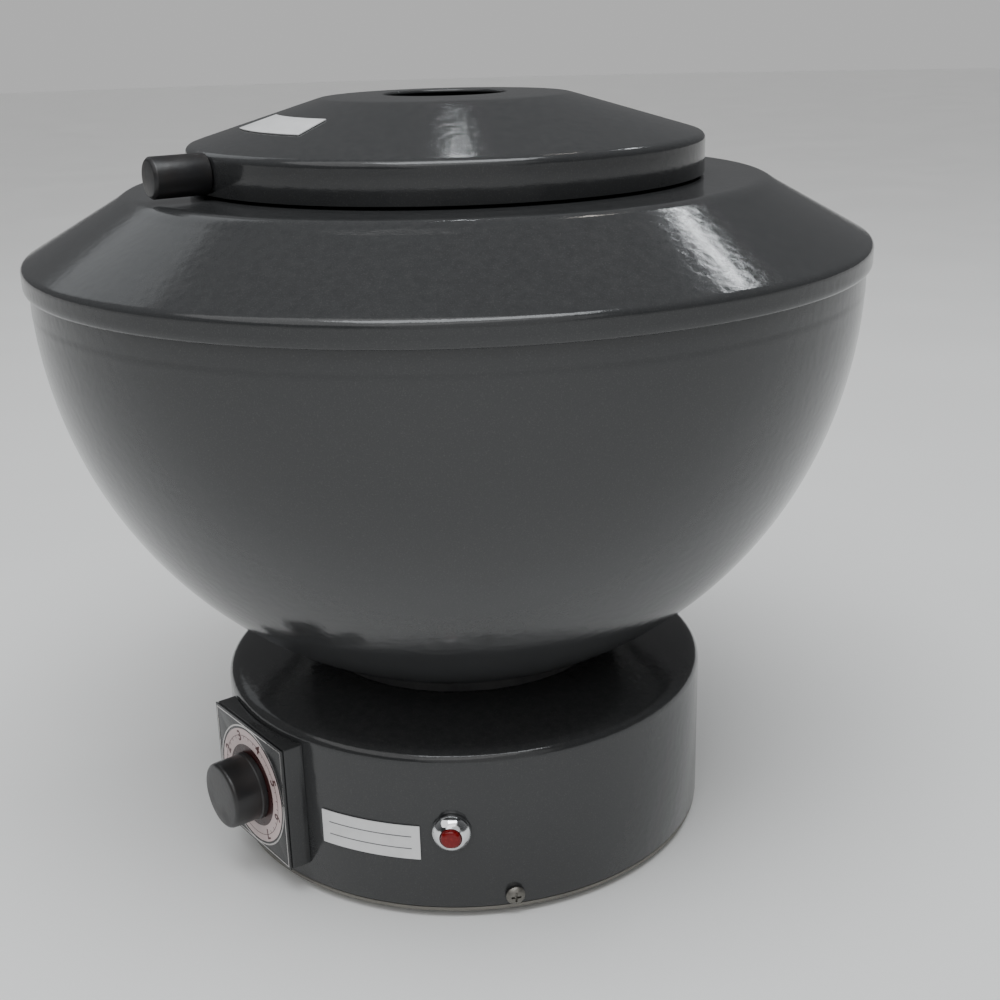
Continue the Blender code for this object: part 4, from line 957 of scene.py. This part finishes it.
class CENTRIFUGE_OT_labels(PieceOperator):
    """Model the blank labels on the drum and on the lid, with ruled lines"""

    bl_idname = "centrifuge.labels"
    bl_label = "Labels"

    def execute(self, context):
        self.base_label()
        self.lid_label()
        return {"FINISHED"}

    def strip(self, name, low, high, span, thickness):
        """A thin sheet swept round the axis between two azimuths."""
        patch = spin_profile(name, [low, high], 40, span[0], span[1] - span[0])
        apply(patch, "SOLIDIFY", thickness=thickness, offset=0.0)
        return patch

    def base_label(self):
        """The label on the drum: a white card with two ruled lines."""
        card = printed("label_card", tuple(colours().label))
        ink = printed("label_ink", (0.10, 0.10, 0.11))
        low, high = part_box("base_label")
        out = sizes().drum_radius + TOUCH + 0.0002
        span = self.span("base_label")
        patch = self.strip("drum_label", (out, low.z), (out, high.z), span, 0.0004)
        settle(patch, Matrix())
        fit(patch, card, "housing", "label_white", "base_label")
        width = span[1] - span[0]
        for number, share in enumerate((0.30, 0.66), 1):
            z = low.z + (high.z - low.z) * share
            lift = out + 0.0002
            line_span = (span[0] + width * 0.08, span[1] - width * 0.08)
            name = f"drum_label_rule_{number}"
            rule = self.strip(name, (lift, z), (lift, z + 0.0005), line_span, 0.0001)
            settle(rule, Matrix())
            fit(rule, ink, "housing", "label_white")

    def span(self, node):
        """The azimuths that a CAD node covers, as seen from the axis."""
        corners = frame["nodes"][node].data.vertices
        angles = [math.degrees(math.atan2(v.co.y, v.co.x)) % 360 for v in corners]
        return min(angles), max(angles)

    def lid_label(self):
        """The label on the lid's cone."""
        card = printed("label_card", tuple(colours().label))
        top, shoulder, _ = lid_line()
        inner, outer = top[-1], shoulder[0]
        slope = (outer[1] - inner[1]) / (outer[0] - inner[0])
        near, far = 0.0800, 0.0972
        lift = 0.0004
        points = [(r, inner[1] + slope * (r - inner[0]) + lift) for r in (near, far)]
        patch = self.strip("lid_card", points[0], points[1], self.span("lid_label"), 0.0004)
        settle(patch, Matrix())
        fit(patch, card, "lid", "label_white", "lid_label")


class CENTRIFUGE_OT_dial(PieceOperator):
    """Model the dial: box, plate, pale scale with ticks and numbers"""

    bl_idname = "centrifuge.dial"
    bl_label = "Speed dial"

    def execute(self, context):
        self.make_box()
        self.make_plate()
        self.make_scale()
        self.make_ticks()
        self.make_numbers()
        return {"FINISHED"}

    def place(self):
        """The dial's frame: X right, Y up, Z out, on the machine's axis."""
        return facing(DIAL_AZIMUTH, dial_height())

    def make_box(self):
        """The box, cut to the drum behind and hollow."""
        wide = sizes().dial_width / 2
        tall = (highest("dial_plate").z - lowest("dial_plate").z) / 2
        face = dial_front() - 0.0013
        box = block("dial_case", (-wide, -tall, face - 0.040), (wide, tall, face))
        ease_edges(box, 0.0006, 3)
        take(box)
        box.matrix_world = self.place()
        bpy.ops.object.transform_apply(location=True, rotation=True, scale=True)
        cut(box, rod("drum_tool", sizes().drum_radius + TOUCH, -0.01, 0.15, sizes().rounds))
        low = (CASE_WALL - wide, CASE_WALL - tall, 0.02)
        high = (wide - CASE_WALL, tall - CASE_WALL, face - CASE_WALL)
        hollow = block("hollow_tool", low, high)
        hollow.matrix_world = self.place()
        cut(box, hollow)
        bushing = rod("bushing_tool", BUSHING_HOLE, face - 0.004, face + 0.004)
        bushing.matrix_world = self.place()
        cut(box, bushing)
        settle(box, Matrix())
        fit(box, enamel(), "housing", "charcoal_enamel", "dial_box")

    def make_plate(self):
        """The plate with a bright line near its edge."""
        wide = sizes().dial_width / 2
        tall = (highest("dial_plate").z - lowest("dial_plate").z) / 2
        face = dial_front()
        plate = block("dial_face", (-wide, -tall, face - 0.001), (wide, tall, face))
        cut(plate, rod("bushing_tool", BUSHING_HOLE, face - 0.004, face + 0.004))
        ease_edges(plate, 0.0003, 2)
        settle(plate, self.place())
        ground = printed("dial_ground_gloss", tuple(colours().dial_ground), 0.18, 0.30)
        fit(plate, ground, "housing", "dial_black", "dial_plate")
        self.make_border(wide - 0.0012, tall - 0.0012, face)

    def make_border(self, wide, tall, face):
        """A thin bright frame laid on the plate."""
        line = 0.0006
        border = block("dial_border", (-wide, -tall, face), (wide, tall, face + 0.0001))
        low = (line - wide, line - tall, face - 0.001)
        high = (wide - line, tall - line, face + 0.001)
        window = block("window", low, high)
        cut(border, window)
        settle(border, self.place())
        fit(border, metal("bright_line", (0.62, 0.60, 0.59), 0.25, 0.40), "housing", "bright_steel")

    def ring(self, name, inner, outer, lift, material, slot):
        """A flat ring on the dial's plate."""
        face = dial_front()
        top = face + lift
        profile = [(inner, face), (outer, face), (outer, top), (inner, top), (inner, face)]
        made = spin_profile(name, profile, 96)
        settle(made, self.place())
        return fit(made, material, "housing", slot)

    def make_scale(self):
        """The pale scale band between its dark heart and a bright outer circle."""
        pale = printed("scale_band", tuple(colours().scale))
        heart = printed("dial_heart_red", tuple(colours().dial_heart), 0.25, 0.40)
        bright = metal("bright_line", (0.62, 0.60, 0.59), 0.25, 0.40)
        inner = sizes().band_inner
        outer = sizes().band_outer
        self.ring("scale_heart", 0.0060, inner, 0.00012, heart, "dial_black")
        self.ring("scale_ring", inner, outer, 0.00015, pale, "label_white")
        self.ring("scale_circle", outer + 0.0011, outer + 0.0019, 0.00015, bright, "bright_steel")
        marks = printed("scale_marks_red", tuple(colours().scale_marks))
        mid = inner + 0.0044
        self.ring("scale_midline", mid, mid + 0.0003, 0.0002, marks, "dial_black")

    def make_ticks(self):
        """Short ticks between the numbers."""
        marks = printed("scale_marks_red", tuple(colours().scale_marks))
        mid = sizes().band_inner + 0.0044
        start = mid - 0.0013
        half = 0.00013
        for step in range(TICKS_BETWEEN * (len(SCALE_NUMBERS) - 1)):
            if step % TICKS_BETWEEN == 0:
                continue
            name = f"scale_tick_{step}"
            tick = block(name, (-half, start, dial_front()), (half, mid, dial_front() + 0.00022))
            turn = Matrix.Rotation(-self.angle(step / TICKS_BETWEEN), 4, "Z")
            settle(tick, self.place() @ turn)
            fit(tick, marks, "housing", "dial_black")

    def angle(self, number):
        """The angle of a number on the scale, turning right from the top."""
        return math.radians(-SCALE_SWEEP / 2 + SCALE_SWEEP * number / (len(SCALE_NUMBERS) - 1))

    def make_numbers(self):
        """The numbers 0 to 7 across the band's middle line."""
        marks = printed("scale_marks_red", tuple(colours().scale_marks))
        radius = (sizes().band_inner + sizes().band_outer) / 2
        for number, digit_text in enumerate(SCALE_NUMBERS):
            let_go()
            bpy.ops.object.text_add()
            text = bpy.context.active_object
            text.name = f"scale_number_{number}"
            text.data.body = digit_text
            text.data.size = 0.0072
            text.data.offset = 0.00014
            text.data.align_x = "CENTER"
            text.data.align_y = "CENTER"
            text.data.extrude = 0.00004
            bpy.ops.object.convert(target="MESH")
            digit = bpy.context.active_object
            edit(digit)
            bpy.ops.mesh.select_all(action="SELECT")
            bpy.ops.mesh.remove_doubles(threshold=1e-6)
            bpy.ops.mesh.normals_make_consistent(inside=False)
            bpy.ops.object.mode_set(mode="OBJECT")
            turn = Matrix.Rotation(-self.angle(number), 4, "Z")
            lift = Matrix.Translation((0, radius, dial_front() + 0.00020))
            settle(digit, self.place() @ turn @ lift)
            fit(digit, marks, "housing", "dial_black")


class CENTRIFUGE_OT_knob(PieceOperator):
    """Model the skirted knob with its rounded nose"""

    bl_idname = "centrifuge.knob"
    bl_label = "Knob"

    def execute(self, context):
        face = dial_front()
        base = face + 0.0005
        tip = face + 0.0175
        grip = sizes().knob_radius
        skirt = 0.017
        bore = 0.0060
        flank = [(grip, base + 0.0030), (grip - 0.0001, tip - 0.0042)]
        nose = [flank[1], (grip - 0.0003, tip - 0.0003), (grip - 0.0045, tip)]
        profile = [(bore, base), (skirt, base), (skirt, base + 0.0024)]
        profile += flank + rounded(nose, 3)[1:]
        profile += [(0, tip), (0, tip - 0.005), (bore, tip - 0.005), (bore, base)]
        knob = spin_profile("knob_grip", profile, 96)
        settle(knob, facing(DIAL_AZIMUTH, dial_height()), 28.0)
        fit(knob, bakelite(), "selector", "black_bakelite", "selector_knob")
        return {"FINISHED"}


class CENTRIFUGE_OT_lamp(PieceOperator):
    """Model the pilot lamp: domed bezel and red lens"""

    bl_idname = "centrifuge.lamp"
    bl_label = "Pilot lamp"

    def execute(self, context):
        seat = sizes().drum_radius + TOUCH
        radius = sizes().lamp_radius
        lens = 0.0047
        tip = seat + 0.0062
        dome = [
            (radius, seat), (radius, seat + 0.0024), (radius - 0.0022, seat + 0.0052),
            (lens + 0.0006, tip),
        ]
        profile = [(lens + TOUCH, seat - 0.008), (0.0064, seat - 0.008), (0.0064, seat)]
        profile += rounded(dome, 3) + [(lens + TOUCH, tip - 0.0002), (lens + TOUCH, seat - 0.008)]
        bezel = spin_profile("lamp_ring", profile, 96)
        place = outward(azimuth_of("lamp_bezel"), middle("lamp_bezel").z)
        settle(bezel, place, 40.0)
        fit(bezel, chrome(), "housing", "chrome", "lamp_bezel")
        cap = [
            (lens, tip + 0.0003), (lens - 0.0004, tip + 0.0015), (lens * 0.5, tip + 0.0021),
            (0, tip + 0.0021),
        ]
        stem = [(0, seat - 0.006), (lens, seat - 0.006)]
        jewel = spin_profile("lamp_jewel", stem + rounded(cap, 2), 64)
        settle(jewel, place, 40.0)
        fit(jewel, red_lens(), "housing", "red_lens", "lamp_lens")
        return {"FINISHED"}


class CENTRIFUGE_OT_back(PieceOperator):
    """Model the cable gland and the fuse holder at the back"""

    bl_idname = "centrifuge.back"
    bl_label = "Back fittings"

    def execute(self, context):
        self.make_gland()
        self.make_fuse()
        return {"FINISHED"}

    def make_gland(self):
        """The tapered rubber gland with its grip rings."""
        seat = sizes().drum_radius + TOUCH
        bore = 0.0036
        inside = seat - 0.0088
        rings = []
        for step in range(4):
            low = seat + 0.0050 + 0.0026 * step
            radius = 0.0066 - 0.0002 * step
            groove = radius - 0.0008
            rings += [(radius, low), (radius, low + 0.0013)]
            rings += [(groove, low + 0.0016), (groove, low + 0.0023)]
        shank, collar = 0.0066, 0.0082
        profile = [(bore, inside), (collar, inside), (collar, inside + 0.003)]
        profile += [(shank, inside + 0.003), (shank, seat)]
        profile += [(0.0092, seat), (0.0090, seat + 0.0030), (0.0070, seat + 0.0042)] + rings
        profile += [(0.0052, seat + 0.016), (bore, seat + 0.016), (bore, inside)]
        gland = spin_profile("cable_bush", profile, 56)
        ease_edges(gland, 0.0003, 2)
        settle(gland, outward(GLAND_AZIMUTH, middle("cable_gland").z))
        fit(gland, rubber(), "housing", "black_rubber", "cable_gland")

    def make_fuse(self):
        """The fuse holder's cap with a screwdriver slot."""
        seat = sizes().drum_radius + TOUCH
        profile = [
            (0, seat - 0.022), (0.0060, seat - 0.022), (0.0060, seat), (0.0080, seat),
            (0.0080, seat + 0.0019), (0.0066, seat + 0.0024), (0.0062, seat + 0.0080),
            (0.0054, seat + 0.0090), (0, seat + 0.0090),
        ]
        cap = spin_profile("fuse_cap", profile, 56)
        ease_edges(cap, 0.0003, 2)
        deep, clear = seat + 0.0078, seat + 0.0120
        cut(cap, block("slot_tool", (-0.0048, -0.0006, deep), (0.0048, 0.0006, clear)))
        settle(cap, outward(FUSE_AZIMUTH, middle("fuse_holder").z))
        fit(cap, bakelite(), "housing", "black_bakelite", "fuse_holder")


class CENTRIFUGE_OT_rotor(PieceOperator):
    """Finish the rotor's head, shaft and nut"""

    bl_idname = "centrifuge.rotor"
    bl_label = "Rotor"

    def execute(self, context):
        low = lowest("rotor_nut").z
        profile = [
            (0.0043, low), (0.0090, low), (0.0090, low + 0.0062), (0.0078, low + 0.0092),
            (0.0050, low + 0.0114), (0, low + 0.0120), (0, low + 0.0084), (0.0043, low + 0.0084),
            (0.0043, low),
        ]
        nut = spin_profile("dome_nut", profile, 64)
        ease_edges(nut, 0.0006, 3, 25.0)
        settle(nut, Matrix())
        fit(nut, chrome(), "rotor", "chrome", "rotor_nut")
        dress(["rotor_head"], castings())
        dress(["motor_shaft"], steel())
        dress(["armature"], laminations())
        return {"FINISHED"}


class CENTRIFUGE_OT_buckets(PieceOperator):
    """Model the four swing buckets with their trunnion rings and cushions"""

    bl_idname = "centrifuge.buckets"
    bl_label = "Swing buckets"

    def execute(self, context):
        for number, azimuth in enumerate(BUCKET_AZIMUTHS, 1):
            self.make_bucket(number, azimuth)
        return {"FINISHED"}

    def make_bucket(self, number, azimuth):
        """One bucket, its ring and its cushion in their rest place."""
        body = f"swing_bucket_{number}"
        out = middle(f"trunnion_ring_{number}").xy.length
        place = upright(0, azimuth, out)
        radius = sizes().bucket_radius
        inside = radius - 0.0015
        low = lowest(f"bucket_{number}").z
        high = highest(f"bucket_{number}").z
        foot = [(radius - 0.006, low), (radius, low), (radius, low + 0.006)]
        collar = high - 0.0027
        flange = 0.0205
        profile = [(0, low)] + rounded(foot, 2)
        profile += [(radius, collar), (flange, collar), (flange, high), (inside, high)]
        profile += [(inside, low + 0.0015), (0, low + 0.0015)]
        bucket = spin_profile(f"tube_bucket_{number}", profile, 72)
        ease_edges(bucket, 0.0004, 2, 50.0)
        settle(bucket, place)
        fit(bucket, steel(), body, "bright_steel", f"bucket_{number}")
        self.make_ring(number, azimuth, out, body)
        dress([f"bucket_cushion_{number}"], rubber())

    def make_ring(self, number, azimuth, out, body):
        """The ring with its two trunnions."""
        node = f"trunnion_ring_{number}"
        z = middle(node).z
        inner = sizes().bucket_radius + TOUCH
        outer = inner + 0.004
        half = 0.005
        profile = [(inner, -half), (outer, -half), (outer, half), (inner, half), (inner, -half)]
        ring = spin_profile(f"swing_ring_{number}", profile, 72)
        for side in (1, -1):
            stub = rod("stub", 0.0035, inner + 0.002, outer + 0.0055)
            stub.matrix_world = Matrix.Rotation(math.radians(90 * side), 4, "X")
            cut(ring, stub, "UNION")
        ease_edges(ring, 0.0004, 2, 50.0)
        settle(ring, upright(z, azimuth, out))
        fit(ring, castings(), body, "cast_aluminium", node)


class CENTRIFUGE_OT_motor(PieceOperator):
    """Finish the motor and the other pieces inside"""

    bl_idname = "centrifuge.motor"
    bl_label = "Motor and inside"

    def execute(self, context):
        dress(["motor_can"], enamel())
        dress(["motor_top_bell", "motor_bottom_bell"], castings())
        dress(["upper_bearing", "lower_bearing", "selector_spindle"], steel())
        dress(["stator"], laminations())
        dress(["motor_mount_1", "motor_mount_2", "motor_mount_3"], rubber())
        dress(["motor_gaiter", "bowl_seat_ring"], rubber())
        dress(["selector_switch"], bakelite())
        dress(["bowl_bolt_1", "bowl_bolt_2", "bowl_bolt_3"], zinc())
        return {"FINISHED"}


class CENTRIFUGE_OT_stage(PieceOperator):
    """Set up the floor, the soft lights and the camera"""

    bl_idname = "centrifuge.stage"
    bl_label = "Stage"

    def execute(self, context):
        self.make_floor()
        self.make_world()
        self.make_lights()
        self.make_camera()
        return {"FINISHED"}

    def make_floor(self):
        """A wide pale floor."""
        let_go()
        bpy.ops.mesh.primitive_circle_add(vertices=96, radius=9.0, fill_type="NGON")
        floor = named("stage_floor")
        made = Finish("pale_floor", tuple(colours().floor), 0.55)
        made.blend(made.group(smudge_group(), Scale=2.0, Amount=0.15), (0.82, 0.82, 0.81))
        made.rough(made.group(smudge_group(), Scale=5.0, Amount=1.0), 0.50, 0.62)
        coat(floor, made.material)

    def make_world(self):
        """Pale surroundings, brighter above and behind, and an even backdrop."""
        world = bpy.data.worlds.new("studio")
        world.use_nodes = True
        tree = world.node_tree
        room = tree.nodes["Background"]
        room.inputs["Color"].default_value = (0.90, 0.91, 0.93, 1.0)
        aim = tree.nodes.new("ShaderNodeTexCoord")
        split = tree.nodes.new("ShaderNodeSeparateXYZ")
        tree.links.new(aim.outputs["Generated"], split.inputs["Vector"])
        rise = range_in(tree, split.outputs["Z"], 0.0, 0.9, 0.15, 0.21)
        behind = range_in(tree, split.outputs["Y"], -0.75, 0.1, 0.18, 1.0)
        tree.links.new(times(tree, rise, behind), room.inputs["Strength"])
        backdrop = tree.nodes.new("ShaderNodeBackground")
        backdrop.inputs["Color"].default_value = (0.93, 0.93, 0.93, 1.0)
        backdrop.inputs["Strength"].default_value = 0.57
        path = tree.nodes.new("ShaderNodeLightPath")
        either = tree.nodes.new("ShaderNodeMixShader")
        tree.links.new(path.outputs["Is Camera Ray"], either.inputs["Fac"])
        tree.links.new(room.outputs["Background"], either.inputs[1])
        tree.links.new(backdrop.outputs["Background"], either.inputs[2])
        tree.links.new(either.outputs["Shader"], tree.nodes["World Output"].inputs["Surface"])
        bpy.context.scene.world = world

    def add_light(self, name, place, aim, size, watts, tint):
        """One soft rectangular light, pointed at a place."""
        let_go()
        bpy.ops.object.light_add(type="AREA", location=place)
        lamp = bpy.context.active_object
        lamp.name = name
        lamp.data.shape = "RECTANGLE"
        lamp.data.size = size[0]
        lamp.data.size_y = size[1]
        lamp.data.energy = watts
        lamp.data.color = tint
        lamp.rotation_euler = (Vector(aim) - Vector(place)).to_track_quat("-Z", "Y").to_euler()

    def add_sky(self, name, turn, strength, spread):
        """A wide, even light from one side of the sky, with angles in degrees."""
        let_go()
        bpy.ops.object.light_add(type="SUN", rotation=[math.radians(angle) for angle in turn])
        sky = bpy.context.active_object
        sky.name = name
        sky.data.energy = strength
        sky.data.angle = math.radians(spread)

    def make_lights(self):
        """A wide light overhead, small ceiling lights behind, and two even skies."""
        warm = (1.0, 0.93, 0.84)
        cool = (0.93, 0.97, 1.0)
        self.add_light("overhead", (0.1, -0.7, 2.3), (0, 0, 0.1), (1.8, 1.2), 40.0, cool)
        self.add_light("back_left", (-1.07, 1.31, 1.35), (0, 0, 0.3), (0.9, 0.8), 1.1, cool)
        for name, place, aim, size, watts, tint in (
            ("ceiling_middle", (0.04, 1.42, 1.66), (0, -0.1, 0.35), (0.07, 0.02), 0.14, cool),
            ("ceiling_right", (1.01, 1.02, 1.68), (0.1, -0.15, 0.31), (0.26, 0.06), 1.4, cool),
            ("ceiling_warm", (0.58, 0.97, 1.91), (0.05, -0.14, 0.33), (0.10, 0.04), 0.5, warm),
        ):
            self.add_light(name, place, aim, size, watts, tint)
        self.add_sky("open_sky", (24, -16, 0), 1.6, 80)
        self.add_sky("front_sky", (68, 0, 8), 0.5, 60)

    def make_camera(self):
        """A camera a little above the bowl, tipped down and slightly rolled."""
        pitch = math.radians(19.1)
        yaw = math.radians(1.75)
        roll = math.radians(-1.47)
        level = math.cos(pitch)
        ahead = Vector((math.sin(yaw) * level, math.cos(yaw) * level, -math.sin(pitch)))
        right = Vector((math.cos(yaw), -math.sin(yaw), 0.0))
        above = right.cross(ahead)
        side = right * math.cos(roll) + above * math.sin(roll)
        crown = above * math.cos(roll) - right * math.sin(roll)
        turn = Matrix((side, crown, -ahead)).transposed().to_4x4()
        let_go()
        bpy.ops.object.camera_add()
        camera = bpy.context.active_object
        camera.name = "camera"
        camera.matrix_world = Matrix.Translation((0.0, -0.690, 0.405)) @ turn
        camera.data.sensor_width = 36.0
        camera.data.lens = 50.7
        camera.data.clip_start = 0.01
        bpy.context.scene.camera = camera


PIECES = (
    CENTRIFUGE_OT_drum,
    CENTRIFUGE_OT_feet,
    CENTRIFUGE_OT_bowl,
    CENTRIFUGE_OT_cover,
    CENTRIFUGE_OT_lid,
    CENTRIFUGE_OT_handle,
    CENTRIFUGE_OT_hinge,
    CENTRIFUGE_OT_labels,
    CENTRIFUGE_OT_dial,
    CENTRIFUGE_OT_knob,
    CENTRIFUGE_OT_lamp,
    CENTRIFUGE_OT_back,
    CENTRIFUGE_OT_rotor,
    CENTRIFUGE_OT_buckets,
    CENTRIFUGE_OT_motor,
    CENTRIFUGE_OT_stage,
)


class CENTRIFUGE_PT_pieces(bpy.types.Panel):
    """The centrifuge's sizes, colours and pieces."""

    bl_idname = "CENTRIFUGE_PT_pieces"
    bl_label = "Centrifuge"
    bl_space_type = "VIEW_3D"
    bl_region_type = "UI"
    bl_category = "Centrifuge"

    def draw(self, context):
        for title, group in (
            ("Sizes", context.scene.centrifuge_sizes),
            ("Colours", context.scene.centrifuge_colours),
        ):
            box = self.layout.box()
            box.label(text=title)
            for label in group.__annotations__:
                box.prop(group, label)
        column = self.layout.column()
        for piece in PIECES:
            column.operator(piece.bl_idname)


CLASSES = (CentrifugeSizes, CentrifugeColours, *PIECES, CENTRIFUGE_PT_pieces)


def register():
    """Register the classes and hang the settings on the scene."""
    for item in CLASSES:
        bpy.utils.register_class(item)
    bpy.types.Scene.centrifuge_sizes = PointerProperty(type=CentrifugeSizes)
    bpy.types.Scene.centrifuge_colours = PointerProperty(type=CentrifugeColours)


def unregister():
    """Take the settings off the scene and unregister the classes."""
    del bpy.types.Scene.centrifuge_colours
    del bpy.types.Scene.centrifuge_sizes
    for item in reversed(CLASSES):
        bpy.utils.unregister_class(item)


def main():
    """Make every piece and the stage."""
    register()
    for item in ("drum", "feet", "bowl", "cover", "lid", "handle", "hinge", "labels"):
        getattr(bpy.ops.centrifuge, item)()
    for item in ("dial", "knob", "lamp", "back", "rotor", "buckets", "motor", "stage"):
        getattr(bpy.ops.centrifuge, item)()


if __name__ == "__main__":
    main()
